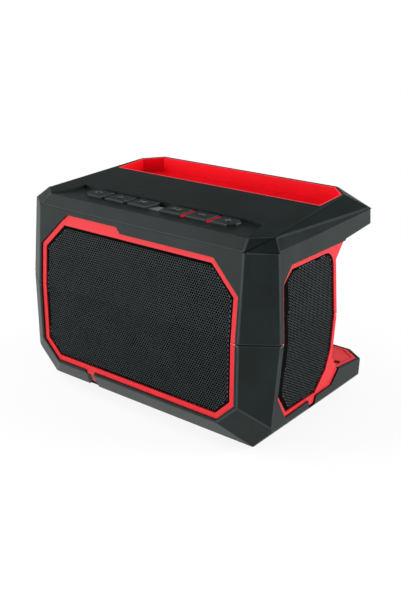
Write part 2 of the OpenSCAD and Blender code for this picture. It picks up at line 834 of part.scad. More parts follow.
module upper_housing() color(red) difference() {
    union() {
        difference() {
            housing_skin(part_z + seam / 2, roof_z);
            intersection() {
                whole_form(inner_wall);
                slab(part_z, roof_low);
                translate([-far / 2, -far, 0]) cube([far, far + flare_y - housing_wall, far]);
                bay_complement(housing_wall);
            }
        }
        intersection() {
            difference() {
                upper_form(frame_sink);
                upper_form(inner_wall);
            }
            through_front(inset_outline(pad, edge_gap));
        }
        for (p = well_places) post(p, well_d, part_z + seam / 2, roof_low + 0.5);
        for (p = control_places) post(p, pillar_post_d, roof_z - 0.5, roof_z + board_post);
        for (p = bed_places) post(p, pillar_post_d - 1, roof_z - 0.5, bed_low);
    }
    translate([-far / 2, flare_y, 0]) cube(far);
    bay(0, 0);
    grille_seats();
    for (p = well_places) post(p, bolt_d + 2 * hole_play, 0, part_z + bolt_reach + 1);
    for (p = cover_places) post(p, screw_d + 2 * hole_play, roof_low - 1, roof_z + 1);
    for (p = control_places) post(p, screw_d + 2 * hole_play, roof_low + 0.8, far);
    for (p = bed_places) post(p, screw_d + 2 * hole_play, roof_low + 0.8, far);
}

// Everything in front of the grown bay
module bay_complement(g) {
    difference() {
        slab(-far / 2, far / 2);
        bay(g, plate_t + fit_gap);
    }
}

module lower_housing() color(red) difference() {
    union() {
        difference() {
            housing_skin(0, part_z - seam / 2);
            intersection() {
                whole_form(inner_wall);
                slab(0, part_z + 1);
                bay_complement(housing_wall);
            }
        }
        for (p = well_places) post(p, well_d + 2 * boss_wall, floor_top - 0.5, part_z - seam / 2);
        for (p = main_places) post(p, pillar_post_d, floor_top - 0.5, floor_top + main_post);
    }
    bay(0, plate_t + fit_gap);
    grille_seats();
    for (p = well_places) post(p, well_d, 0, well_top);
    for (p = well_places) post(p, bolt_d + 2 * hole_play, 0, part_z + 1);
    for (p = base_places) post(p, screw_d + 2 * hole_play, 0, floor_top + 1);
    for (p = main_places) post(p, screw_d + 2 * hole_play, floor_top, floor_top + far);
    for (p = shelf_places) post(p, screw_d + 2 * hole_play, shelf_z - 12, shelf_z);
}

module parting_seal() color(black) difference() {
    intersection() {
        lower_form(cover_wall + fit_gap + seal_in);
        slab(part_z - seam / 2, part_z + seam / 2);
        bay_complement(seal_in);
    }
    intersection() {
        lower_form(inner_wall - seal_in);
        bay_complement(housing_wall - seal_in);
    }
    grille_seats();
}

module overhang_panel() color(red) difference() {
    intersection() {
        upper_form(cover_wall + fit_gap);
        translate([-far / 2, flare_y + fit_gap, over_z - 1]) cube([far, far, panel_top - over_z + 1]);
    }
    bay(0, 0);
    for (p = panel_places) post(p, screw_d + 2 * hole_play, 0, far);
    for (p = panel_places) post(p, 2 * screw_d, 0, panel_top - panel_floor);
}

module tray_liner() color(red) difference() {
    union() {
        intersection() {
            translate([0, 0, tray_low]) linear_extrude(height = far)
                polygon(inset_outline(tray_outline, edge_gap));
            upper_form(tray_sink);
        }
        for (p = panel_places) post(p, boss_d, panel_top, tray_low + 0.5);
    }
    translate([0, 0, tray_floor]) linear_extrude(height = far)
        polygon(inset_outline(tray_outline, edge_gap + tray_wall));
    for (p = panel_places) post(p, screw_d + 2 * hole_play, 0, tray_low);
}

// A layer of the sloping shelf between two depths, inside the black rim
module shelf_layer(deep, shallow, margin) {
    intersection() {
        lower_form(cover_wall + fit_gap + margin);
        across([
            [flare_y + margin + fit_gap, shelf_at(flare_y + margin) - deep],
            [half_d, shelf_at(half_d) - deep],
            [half_d, shelf_at(half_d) - shallow],
            [flare_y + margin + fit_gap, shelf_at(flare_y + margin) - shallow]
        ]);
    }
}

// Red shelf plate with a groove round its panel and two sunk screw holes
module shelf_plate() color(red) difference() {
    shelf_layer(plate_t, plate_sink, 0);
    difference() {
        shelf_layer(plate_sink + groove_deep, -1, panel_margin);
        shelf_layer(plate_t, -2, panel_margin + groove_w);
    }
    for (p = shelf_places) post(p, screw_d + 2 * hole_play, 0, far);
    for (p = shelf_places) post(p, 2.2 * screw_d, shelf_at(p[1]) - plate_t + plate_floor, far);
}

// Grilles

// A sheet that follows the outer form at the grille depth
module sheet(front, back) {
    difference() {
        whole_form(front);
        whole_form(back);
    }
}

module front_grille() color(steel) intersection() {
    sheet(sheet_in, sheet_in + sheet_t);
    through_front(inset_outline(grille_opening, edge_gap));
}

module left_grille() color(steel) side_grille(-1);
module right_grille() color(steel) side_grille(1);
module side_grille(s) intersection() {
    sheet(sheet_in, sheet_in + sheet_t);
    through_side(inset_outline(side_opening, edge_gap), s);
}

// Dust cloths behind the three sheets
module grille_cloth() color(black) intersection() {
    sheet(seat_in, seat_in + cloth_t);
    union() {
        through_front(inset_outline(grille_opening, ledge_w + edge_gap));
        for (s = [-1, 1]) through_side(inset_outline(side_opening, ledge_w + edge_gap), s);
    }
}

// Baffles and drivers

module front_baffle() color(black) difference() {
    intersection() {
        whole_form(inner_wall + fit_gap);
        translate([-side_baffle_x - baffle_t, baffle_front, floor_top])
            cube([2 * (side_baffle_x + baffle_t), baffle_t, roof_low - floor_top]);
    }
    for (s = [-1, 1]) {
        facing_front(s) translate([0, 0, -1]) cylinder(d = basket_hole_d, h = baffle_t + 2);
        for (a = driver_angles)
            facing_front(s) rotate(a) translate([driver_pcd / 2, 0, -1])
                cylinder(d = screw_d + 2 * hole_play, h = baffle_t + 2);
    }
}

// Puts a shape turned about Z on a driver's axis, with +Z pointing rearwards
module facing_front(s) {
    translate([s * driver_x, baffle_front, driver_z]) rotate([-90, 0, 0]) children();
}

module left_driver_frame() color(grey) driver_frame(-1);
module right_driver_frame() color(grey) driver_frame(1);
module driver_frame(s) facing_front(s) difference() {
    rotate_extrude() polygon([
        [basket_top_d / 2 - 1.6, -flange_plate_t], [driver_d / 2, -flange_plate_t],
        [driver_d / 2, 0], [basket_top_d / 2, 0], [basket_top_d / 2, 3],
        [magnet_d / 2 - 3, basket_d], [coil_d / 2 + 3, basket_d],
        [coil_d / 2 + 3, basket_d - 1.6], [magnet_d / 2 - 4, basket_d - 1.6],
        [basket_top_d / 2 - 1.6, 2.5]
    ]);
    for (a = driver_angles)
        rotate(a) translate([driver_pcd / 2, 0, -5])
            cylinder(d = screw_d + 2 * hole_play, h = 10);
    for (a = driver_angles)
        rotate(a + 45) translate([magnet_d / 2 - 6, -vent_w / 2, vent_z])
            cube([vent_l, vent_w, basket_d - vent_z - 5]);
}

module left_driver_surround() color(black) driver_surround(-1);
module right_driver_surround() color(black) driver_surround(1);
module driver_surround(s) facing_front(s) rotate_extrude() polygon([
    [cone_d / 2 + run_gap, -flange_plate_t - 1], [cone_d / 2 + 2, -flange_plate_t - 2.6],
    [cone_d / 2 + 4.5, -flange_plate_t - 2.6], [cone_d / 2 + 6.6, -flange_plate_t - 0.8],
    [cone_d / 2 + 9, -flange_plate_t - 0.8], [cone_d / 2 + 9, -flange_plate_t],
    [cone_d / 2 + 6, -flange_plate_t], [cone_d / 2 + 4, -flange_plate_t - 1.6],
    [cone_d / 2 + 2.4, -flange_plate_t - 1.6], [cone_d / 2 + run_gap, -flange_plate_t]
]);

module left_driver_cone() color(black) driver_cone(-1);
module right_driver_cone() color(black) driver_cone(1);
module driver_cone(s) facing_front(s) rotate_extrude() polygon([
    [0, 3], [coil_d / 4, 3.6], [coil_d / 2 - 1, 7], [cone_d / 2, -flange_plate_t - 1],
    [cone_d / 2, -flange_plate_t], [coil_d / 2, 9], [coil_d / 2, basket_d + 5],
    [coil_d / 2 - 0.8, basket_d + 5], [coil_d / 2 - 0.8, 9], [coil_d / 4, 5], [0, 4.2]
]);

module left_driver_magnet() color(steel) driver_magnet(-1);
module right_driver_magnet() color(steel) driver_magnet(1);
module driver_magnet(s) facing_front(s) rotate_extrude() polygon([
    [0, basket_d - 2], [coil_d / 2 - 0.8 - run_gap, basket_d - 2],
    [coil_d / 2 - 0.8 - run_gap, basket_d + magnet_t],
    [coil_d / 2 + run_gap, basket_d + magnet_t], [coil_d / 2 + run_gap, basket_d],
    [magnet_d / 2, basket_d], [magnet_d / 2, basket_d + magnet_t],
    [magnet_d / 2 - 4, basket_d + magnet_t + 4], [0, basket_d + magnet_t + 4]
]);

// Puts a shape turned about Z on a radiator's axis, with +Z pointing outwards
module facing_side(s) {
    mirror([s < 0 ? 1 : 0, 0, 0])
        translate([side_baffle_x, radiator_y, driver_z])
            rotate([0, 90, 0])
                children();
}

module left_baffle() color(black) side_baffle(-1);
module right_baffle() color(black) side_baffle(1);
module side_baffle(s) difference() {
    intersection() {
        whole_form(inner_wall + fit_gap);
        mirror([s < 0 ? 1 : 0, 0, 0])
            translate([side_baffle_x, baffle_rear + fit_gap, floor_top])
                cube([
                    baffle_t, wall_y - housing_wall - baffle_rear - 2 * fit_gap,
                    roof_low - floor_top - fit_gap
                ]);
        bay_complement(housing_wall + fit_gap);
    }
    facing_side(s) translate([0, 0, -1]) cylinder(d = radiator_d - 8, h = baffle_t + 2);
}

module left_radiator_surround() color(black) radiator_surround(-1);
module right_radiator_surround() color(black) radiator_surround(1);
module radiator_surround(s) facing_side(s) rotate_extrude() polygon([
    [plate_d / 2 + run_gap, baffle_t], [radiator_d / 2 - 5, baffle_t], [radiator_d / 2, baffle_t],
    [radiator_d / 2, baffle_t + 1], [radiator_d / 2 - 3, baffle_t + 1],
    [plate_d / 2 + 3.5, baffle_t + 2.4], [plate_d / 2 + 1.8, baffle_t + 2.4],
    [plate_d / 2 + run_gap, baffle_t + 1]
]);

module left_radiator_plate() color(grey) radiator_plate(-1);
module right_radiator_plate() color(grey) radiator_plate(1);
module radiator_plate(s) facing_side(s) rotate_extrude() polygon([
    [0, baffle_t - 1.5], [plate_d / 2, baffle_t - 1.5], [plate_d / 2, baffle_t + 1],
    [plate_d / 2 - 4, baffle_t + 1], [plate_d / 2 - 6, baffle_t], [0, baffle_t]
]);

// Buttons and their boards

module power_button() color(black) push_button(0);
module pairing_button() color(black) push_button(1);
module back_button() color(black) push_button(2);
module play_button() color(black) push_button(3);
module minus_button() color(black) push_button(4);
module plus_button() color(black) push_button(5);

// Cap cut from the row outline, a flange that the deck holds down, and a guided stem
module push_button(i) {
    translate([0, 0, flange_low]) linear_extrude(height = deck_z + button_proud - flange_low)
        intersection() {
            polygon(row_outline);
            translate([button_left(i), row_mid - button_d]) square([button_w, 2 * button_d]);
        }
    translate([button_left(i) + end_cut, row_mid - button_d / 2 - flange_out, flange_low])
        cube([button_w - 2 * end_cut, button_d + 2 * flange_out, flange_t]);
    post([button_mid(i), row_mid], stem_d, stem_low, flange_low + 0.5);
}

module button_bed() color(red) difference() {
    union() {
        translate([-row_w / 2 - 3, row_mid - control_d / 2 - 6, bed_low])
            cube([row_w + 6, control_d + 12, bed_t]);
        for (i = [0, 1]) land(button_left(i) + button_w, button_gap, left_land_z);
        for (i = [3, 4]) land(button_left(i) + button_w, button_gap, right_land_z);
        land(-middle_gap / 2, middle_gap, middle_land_z);
    }
    for (i = [0 : 5]) post([button_mid(i), row_mid], stem_d + 2 * hole_play, 0, far);
    for (p = bed_places) post(p, screw_d + 2 * hole_play, 0, far);
    post([0, row_mid], lens_d + 2 * hole_play, 0, far);
    translate([0, 0, lens_low]) linear_extrude(height = far)
        polygon(inset_outline(lens_outline, -hole_play));
}

// Land of the bed that fills the gap from x to x + w between two caps
module land(x, w, high) {
    translate([x + run_gap, row_mid - button_d / 2, bed_low])
        cube([w - 2 * run_gap, button_d, high - bed_low]);
}

// Light window: a stem over the lamp, and a tapered head let into the middle land
module status_lens() color("white") {
    post([0, row_mid], lens_d, control_top + 1, lens_low + 0.5);
    translate([0, 0, lens_low]) linear_extrude(height = lens_deep + lens_proud)
        polygon(lens_outline);
}

module control_board() color(green) difference() {
    translate([-control_w / 2, row_mid - control_d / 2, control_top - board_t])
        cube([control_w, control_d, board_t]);
    for (p = control_places) post(p, screw_d + 2 * hole_play, 0, far);
}

module tact_switches() color(grey) {
    for (i = [0 : 5]) {
        translate([button_mid(i) - switch_w / 2, row_mid - switch_w / 2, control_top])
            cube([switch_w, switch_w, switch_h - plunger_h]);
        post([button_mid(i), row_mid], plunger_d, switch_top - plunger_h - 0.2, switch_top);
    }
    translate([-led_w / 2, row_mid - led_w / 2, control_top]) cube([led_w, led_w, led_h]);
}

module main_board() color(green) difference() {
    translate([-main_w / 2, main_y - main_d / 2, main_low]) cube([main_w, main_d, board_t]);
    for (p = main_places) post(p, screw_d + 2 * hole_play, 0, far);
}

// Four smoothing capacitors, a finned amplifier chip and two coils
module board_components() color(grey) {
    for (i = [0 : 3])
        post([-main_w / 3 + i * cap_pitch, main_y + main_d / 4], cap_d, main_top, main_top + cap_h);
    translate([-chip_w / 2, main_y - main_d / 3, main_top]) cube([chip_w, chip_w, chip_t]);
    for (i = [0 : 4])
        translate([-chip_w / 2 + i * fin_pitch, main_y - main_d / 3, main_top + chip_t - 0.01])
            cube([fin_t, chip_w, fin_h]);
    for (i = [0 : 1])
        translate([chip_w + i * (coil_w + 3), main_y - main_d / 3, main_top])
            cube([coil_w, coil_w, coil_h]);
}

module radio_module() color(grey) {
    translate([chip_w, main_y + 4, main_top]) cube([radio_l, radio_w, 1]);
    translate([chip_w + 1, main_y + 5, main_top + 0.99]) cube([radio_l - 6, radio_w - 2, 1.6]);
}

// Battery dock

// Plate with two hooked rails and a block that carries the terminals
module battery_dock() color(black) difference() {
    union() {
        translate([-dock_w / 2, wall_y, dock_z - dock_h / 2]) cube([dock_w, dock_t, dock_h]);
        for (s = [-1, 1]) {
            translate([-dock_w / 2, dock_face - 0.01, dock_z + s * (rail_gap + rail_t) / 2 - rail_t / 2])
                cube([rail_l, rail_h, rail_t]);
            translate([
                -dock_w / 2, dock_face + rail_h - lip_t,
                dock_z + s * (rail_gap + rail_t - lip_w) / 2 - (rail_t + lip_w) / 2
            ])
                cube([rail_l, lip_t, rail_t + lip_w]);
        }
        translate([dock_w / 2 - block_w - 2, dock_face - 0.01, dock_z - block_h / 2])
            cube([block_w, rail_h, block_h]);
    }
    for (p = dock_places)
        translate([p[0], wall_y - 1, p[1]]) rotate([-90, 0, 0])
            cylinder(d = screw_d + 2 * hole_play, h = dock_t + 2);
}

module dock_terminals() color(brass)
    for (i = [-1, 0, 1])
        translate([
            dock_w / 2 - block_w - 2 - terminal_l, dock_face + 2.5,
            dock_z + i * terminal_pitch - terminal_w / 2
        ])
            cube([terminal_l, terminal_t, terminal_w]);

// Fasteners and feet

module housing_screws() color(grey)
    for (p = well_places) screw_up(p, bolt_d, well_top, bolt_low + bolt_reach);

module cover_screws() color(grey)
    for (p = cover_places) screw_up(p, screw_d, roof_low, cover_screw_l);

module base_screws() color(grey)
    for (p = base_places) screw_up(p, screw_d, foot_h + 0.7 * screw_d, inner_wall);

module panel_screws() color(grey)
    for (p = panel_places) screw_up(p, screw_d, panel_top - panel_floor, panel_screw_l);

module shelf_screws() color(grey)
    for (p = shelf_places) screw_down(p, screw_d, shelf_at(p[1]) - plate_t + plate_floor, shelf_screw_l);

module driver_screws() color(grey)
    for (s = [-1, 1], a = driver_angles)
        facing_front(s) rotate(a) translate([driver_pcd / 2, 0, -flange_plate_t]) {
            cylinder(d = screw_d, h = flange_plate_t + baffle_t);
            translate([0, 0, -1.5]) cylinder(d = 1.8 * screw_d, h = 1.5);
        }

module board_screws() color(grey) {
    for (p = control_places) screw_down(p, screw_d, control_top, board_t + 2.4);
    for (p = bed_places) screw_down(p, screw_d, bed_top, 7);
    for (p = main_places) screw_down(p, screw_d, main_top, 5);
}

module dock_screws() color(grey)
    for (p = dock_places)
        translate([p[0], wall_y + 0.01, p[1]]) rotate([-90, 0, 0]) {
            cylinder(d = screw_d, h = dock_t);
            translate([0, 0, dock_t - 0.01]) cylinder(d = 1.8 * screw_d, h = 1.5);
        }

module rubber_feet() color(black)
    for (p = foot_places) post(p, foot_d, 0, foot_h);

top_cover();
base_cover();
upper_housing();
lower_housing();
parting_seal();
overhang_panel();
tray_liner();
shelf_plate();
front_grille();
left_grille();
right_grille();
grille_cloth();
front_baffle();
left_baffle();
right_baffle();
left_driver_frame();
right_driver_frame();
left_driver_surround();
right_driver_surround();
left_driver_cone();
right_driver_cone();
left_driver_magnet();
right_driver_magnet();
left_radiator_surround();
right_radiator_surround();
left_radiator_plate();
right_radiator_plate();
power_button();
pairing_button();
back_button();
play_button();
minus_button();
plus_button();
button_bed();
status_lens();
control_board();
tact_switches();
main_board();
board_components();
radio_module();
battery_dock();
dock_terminals();
housing_screws();
cover_screws();
base_screws();
panel_screws();
shelf_screws();
driver_screws();
board_screws();
dock_screws();
rubber_feet();
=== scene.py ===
import math

import bmesh
import bpy
import numpy as np
from mathutils import Matrix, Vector
from mathutils.geometry import delaunay_2d_cdt


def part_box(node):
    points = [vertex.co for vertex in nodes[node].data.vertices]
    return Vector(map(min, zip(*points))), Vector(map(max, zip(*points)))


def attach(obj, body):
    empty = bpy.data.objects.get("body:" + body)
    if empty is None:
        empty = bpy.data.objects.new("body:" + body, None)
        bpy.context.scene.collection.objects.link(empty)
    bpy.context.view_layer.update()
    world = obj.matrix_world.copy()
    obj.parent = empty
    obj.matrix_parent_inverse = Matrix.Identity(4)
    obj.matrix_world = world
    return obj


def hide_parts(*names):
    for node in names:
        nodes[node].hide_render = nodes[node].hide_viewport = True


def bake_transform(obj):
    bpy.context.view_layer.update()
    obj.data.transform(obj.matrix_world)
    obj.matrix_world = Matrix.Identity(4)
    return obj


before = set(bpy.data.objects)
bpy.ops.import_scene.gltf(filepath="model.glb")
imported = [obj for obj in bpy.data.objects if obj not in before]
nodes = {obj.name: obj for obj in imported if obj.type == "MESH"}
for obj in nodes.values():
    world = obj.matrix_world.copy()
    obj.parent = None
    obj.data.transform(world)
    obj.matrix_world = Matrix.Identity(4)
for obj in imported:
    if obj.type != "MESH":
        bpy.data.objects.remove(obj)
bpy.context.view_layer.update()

# Red inner housing
# Two moulded halves of red ABS that meet at the parting line. Their raised frames stand in the
# windows of the black covers, and their hidden walls carry the baffles, boards and dock.


def linear(code):
    """An sRGB hex colour as linear RGBA: c / 12.92 below 0.04045, else ((c + 0.055) / 1.055) ^ 2.4."""
    c = np.array([int(code[i:i + 2], 16) for i in (1, 3, 5)]) / 255
    return (*np.where(c <= 0.04045, c / 12.92, ((c + 0.055) / 1.055) ** 2.4), 1.0)


def add(tree, kind, inputs=(), **settings):
    """Adds one shader node. Settings go on the node, inputs are pairs of socket and value or output."""
    made = tree.nodes.new(kind)
    for name, value in settings.items():
        setattr(made, name, value)
    for socket, value in inputs:
        if isinstance(value, bpy.types.NodeSocket):
            tree.links.new(value, made.inputs[socket])
        else:
            made.inputs[socket].default_value = value
    return made


def moulded(name, deep, pale, patch, grain, relief, rough, gloss):
    """Moulded polymer: two tones drift over patches, a fine spark-eroded grain roughens the surface.

    patch and grain are sizes in millimetres, relief is the grain's height in millimetres, rough is
    the range of roughness and gloss the specular level. A real grain of 0.1 to 0.3 mm is too fine to
    show, so the grains of all these finishes are drawn two or three times as coarse.
    """
    material = bpy.data.materials.new(name)
    material.use_nodes = True
    tree = material.node_tree
    shader = tree.nodes["Principled BSDF"]
    where = add(tree, "ShaderNodeTexCoord").outputs["Object"]
    drift = add(tree, "ShaderNodeTexNoise", [
        ("Vector", where), ("Scale", 1000 / patch), ("Detail", 3.0), ("Roughness", 0.55)
    ])
    pits = add(tree, "ShaderNodeTexNoise", [
        ("Vector", where), ("Scale", 1000 / grain), ("Detail", 2.0), ("Roughness", 0.6)
    ])
    both = add(tree, "ShaderNodeMath", [
        (0, drift.outputs["Fac"]), (1, pits.outputs["Fac"])
    ], operation="ADD")
    tone = add(tree, "ShaderNodeMapRange", [
        ("Value", both.outputs[0]), ("From Min", 0.75), ("From Max", 1.25)
    ])
    colour = add(tree, "ShaderNodeMix", [
        ("Factor", tone.outputs[0]), ("A", linear(deep)), ("B", linear(pale))
    ], data_type="RGBA")
    dull = add(tree, "ShaderNodeMapRange", [
        ("Value", pits.outputs["Fac"]), ("From Min", 0.3), ("From Max", 0.7),
        ("To Min", rough[0]), ("To Max", rough[1])
    ])
    bump = add(tree, "ShaderNodeBump", [
        ("Height", pits.outputs["Fac"]), ("Strength", 1.0), ("Distance", relief / 1000)
    ])
    tree.links.new(colour.outputs["Result"], shader.inputs["Base Color"])
    tree.links.new(dull.outputs[0], shader.inputs["Roughness"])
    tree.links.new(bump.outputs[0], shader.inputs["Normal"])
    shader.inputs["Specular IOR Level"].default_value = gloss
    return material


def gathered(items, name, width, kind=float):
    """One property of all of a mesh's points, edges, corners or faces, in rows of the given width."""
    values = np.empty(width * len(items), kind)
    items.foreach_get(name, values)
    return values.reshape(-1, width)


def placed(name, data):
    """A new object at the origin, linked to the scene."""
    made = bpy.data.objects.new(name, data)
    bpy.context.scene.collection.objects.link(made)
    return made


# Steps that tell the planes of a hull apart, for each unit of the normal and each metre of offset
NORMAL_STEPS = 500
OFFSET_STEPS = 5000


def on_hull(points, slack):
    """Which points lie on the planes of their convex hull: a row per point, a column per plane."""
    shape = bmesh.new()
    for p in points:
        shape.verts.new(p)
    hull = bmesh.ops.convex_hull(shape, input=shape.verts)
    faces = [g for g in hull["geom"] if isinstance(g, bmesh.types.BMFace)]
    normals = np.array([f.normal for f in faces])
    offsets = np.array([f.normal.dot(f.verts[0].co) for f in faces])
    areas = np.array([f.calc_area() for f in faces])
    shape.free()
    planes = np.round(np.c_[normals * NORMAL_STEPS, offsets * OFFSET_STEPS])
    first = np.unique(planes, axis=0, return_index=True)[1]
    first = first[areas[first] > 0]
    return np.abs(points @ normals[first].T - offsets[first]) < slack


# In metres, the distance at which points are one and that from a hull's plane at which a point lies on
# it. In degrees, the fold that counts as flat and the fold from which an edge is rounded.
WELD = 2e-6
HULL_SLACK = 3e-5
FLAT_FOLD = 0.6
ROUNDED_FOLD = 9


def eased(node, name, radius, finish, edge_highlight_and_wear, body="housing"):
    """A copy of a solid whose outer edges are rounded as a mould rounds them.

    An edge is rounded where both its ends lie on two planes of the solid's convex hull and its two
    faces fold outwards by more than ROUNDED_FOLD. The rounded strips take the paler edge finish: a
    painted highlight, on the battery dock also wear.
    """
    mesh = nodes[node].data.copy()
    mesh.materials.clear()
    mesh.materials.append(finish)
    mesh.materials.append(edge_highlight_and_wear)
    shape = bmesh.new()
    shape.from_mesh(mesh)
    bmesh.ops.remove_doubles(shape, verts=shape.verts, dist=WELD)
    bmesh.ops.dissolve_limit(
        shape, angle_limit=math.radians(FLAT_FOLD), verts=shape.verts, edges=shape.edges
    )
    shape.to_mesh(mesh)
    shape.free()
    for shading in ("custom_normal", "sharp_edge"):
        if shading in mesh.attributes:
            mesh.attributes.remove(mesh.attributes[shading])
    mesh.shade_flat()
    co = gathered(mesh.vertices, "co", 3)
    ends = gathered(mesh.edges, "vertices", 2, int)
    loop_edge = gathered(mesh.loops, "edge_index", 1, int).ravel()
    sides = gathered(mesh.polygons, "loop_total", 1, int).ravel()
    loop_face = np.repeat(np.arange(len(mesh.polygons)), sides)
    normal = gathered(mesh.polygons, "normal", 3)
    middle = gathered(mesh.polygons, "center", 3)
    order = np.argsort(loop_edge, kind="stable")
    count = np.bincount(loop_edge, minlength=len(ends))
    start = np.cumsum(count) - count
    two = count == 2
    a = loop_face[order[np.where(two, start, 0)]]
    b = loop_face[order[np.where(two, start + 1, 0)]]
    fold = np.einsum("ij,ij->i", normal[a], normal[b])
    outwards = np.einsum("ij,ij->i", normal[a], co[ends[:, 0]] - middle[b]) > 0
    outer = on_hull(co, HULL_SLACK)
    rim = (outer[ends[:, 0]] & outer[ends[:, 1]]).sum(axis=1) > 1
    length = np.linalg.norm(co[ends[:, 0]] - co[ends[:, 1]], axis=1)
    pick = two & outwards & rim & (fold < math.cos(math.radians(ROUNDED_FOLD))) & (length > 2 * radius)
    weight = mesh.attributes.new("bevel_weight_edge", "FLOAT", "EDGE")
    weight.data.foreach_set("value", pick.astype(np.float32))
    piece = placed(name, mesh)
    ease = piece.modifiers.new("eased edges", "BEVEL")
    ease.limit_method = "WEIGHT"
    ease.width = radius
    ease.segments = 2
    ease.use_clamp_overlap = False
    ease.material = 1
    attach(piece, body)
    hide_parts(node)
    return piece


def dress(piece, material):
    """Gives every material slot of a piece the same material."""
    if not piece.data.materials:
        piece.data.materials.append(material)
    for place in piece.material_slots:
        place.material = material


# Satin red ABS, injection moulded: an even saturated red with a faint moulded grain. The grain of
# about 0.3 mm is drawn at 0.9 mm so that it shows. Its rounded edges are painted a little paler and
# glossier, a painted highlight.
red_abs = moulded(
    "satin red ABS", "#bd161f", "#c81c25", patch=30, grain=0.9, relief=0.02,
    rough=(0.42, 0.54), gloss=0.26
)
# Painted highlight: the paler red of the rounded edges and of the tray's rim.
red_edge_highlight = moulded(
    "red ABS painted edge highlight", "#d8363c", "#e24248", patch=8, grain=0.9, relief=0.01,
    rough=(0.32, 0.42), gloss=0.5
)
HOUSING_EASE = 0.00035
for half in ("upper_housing", "lower_housing"):
    eased(half, half + "_shell", HOUSING_EASE, red_abs, red_edge_highlight)

# Parting seal
# A cord of black silicone pressed between the two halves of the housing. Only its edge shows, as a
# dark line across the red frames.

# Black silicone rubber: dull and near black, with a soft dusty grain.
silicone = moulded(
    "black silicone rubber", "#0d0e0f", "#141516", patch=12, grain=0.8, relief=0.02,
    rough=(0.6, 0.75), gloss=0.3
)
dress(nodes["parting_seal"], silicone)

# Red fittings of the bay and the top
# The tray, the shelf plate, the underside of the overhang and the button bed are separate mouldings
# of the same red ABS, held by small screws.

# The tray is polished in the mould, so its red is deeper. The shelf is rougher, and its red is
# painted paler: painted light for the sheen it catches under the overhang.
tray_abs = moulded(
    "polished red ABS", "#d30112", "#df0318", patch=30, grain=0.9, relief=0.015,
    rough=(0.4, 0.5), gloss=0.12
)
# Painted light: the shelf's red is paler to stand for the sheen it catches.
shelf_painted_light = moulded(
    "paler red ABS painted light", "#d73238", "#e13e42", patch=14, grain=0.9, relief=0.03,
    rough=(0.55, 0.68), gloss=0.25
)
SHELF_EASE = 0.0003
FITTING_EASE = 0.0004
eased("shelf_plate", "shelf_plate_moulding", SHELF_EASE, shelf_painted_light, red_edge_highlight)
eased("overhang_panel", "overhang_panel_moulding", FITTING_EASE, red_abs, red_edge_highlight)
dress(nodes["button_bed"], tray_abs)

# The top of the tray's rim takes the paler red of the edges, a painted highlight where the rim faces
# the lamps above: faces that look up, no further than RIM_DROP metres under the tray's top.
RIM_DROP = 0.006
LOOKS_UP = 0.9
tray = eased("tray_liner", "tray_liner_moulding", FITTING_EASE, tray_abs, red_edge_highlight)
rim_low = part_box("tray_liner")[1][2] - RIM_DROP
for face in tray.data.polygons:
    if face.normal.z > LOOKS_UP and face.center.z > rim_low:
        face.material_index = 1

# Black covers
# Two faceted bumpers of black ABS that clip over the housing, with soft moulded edges between the
# facets and a spark-eroded matt surface.

# Spark-textured black ABS: near black with a slight green-grey cast and a dull sheen. The erosion
# grain of about 0.3 mm is drawn at 0.8 mm so that it shows. Its rounded edges are painted paler and
# are smoother, a painted highlight.
black_abs = moulded(
    "spark-textured black ABS", "#0d1514", "#15201f", patch=22, grain=0.8, relief=0.03,
    rough=(0.4, 0.52), gloss=0.17
)
# Painted highlight: the paler black of the covers' rounded edges.
black_edge_highlight = moulded(
    "black ABS painted edge highlight", "#1a2323", "#242e2d", patch=9, grain=0.8, relief=0.015,
    rough=(0.42, 0.55), gloss=0.35
)
COVER_EASE = 0.0008
for cover in ("top_cover", "base_cover"):
    eased(cover, cover + "_moulding", COVER_EASE, black_abs, black_edge_highlight)

# Grilles
# Perforated steel sheets, powder coated black, that lie in the red frames. Each is folded once at
# the parting line to follow the housing. The holes are hexagons on a 2 mm triangular lattice.
SHEET_PITCH = 2.0
HOLE_R = 0.95
HOLE_SIDES = 6
SHEET_SKIN = 0.45
FOLD_Z = 84.4
# Longest step along an outline, and how near a point lies to a height that it belongs to
OUTLINE_STEP = 4
LEVEL_SLACK = 0.12
# Triangulations: whole hull or inside of the outline only, and the distances at which points are one
WHOLE_HULL = 0
INSIDE_ONLY = 1
OUTLINE_MERGE = 1e-4
SHEET_MERGE = 1e-5
# Width of the plain border in millimetres: low and high along the first axis, then along z. The border
# is painted black as shade, widest where the frames' shadow falls on the sheet
FRONT_BORDER = (0.7, 1.2, 0.2, 1.6)
SIDE_BORDER = (5.6, 0.1, 0.1, 0.9)

# Powder-coated steel: matt charcoal with a fine orange-peel of about 0.5 mm, drawn at 0.7 mm so that
# it shows.
mesh_coat = moulded(
    "powder-coated steel", "#1a2325", "#262f31", patch=16, grain=0.7, relief=0.02,
    rough=(0.45, 0.58), gloss=0.3
)

# Painted shade: the plain border of each sheet and the punched edges of its holes are painted dead
# black, for the frames' shadow on the recessed sheet and the shade inside the holes.
painted_shade_black = moulded(
    "painted shade black", "#050506", "#090a0a", patch=6, grain=0.8, relief=0.02,
    rough=(0.8, 0.95), gloss=0.02
)


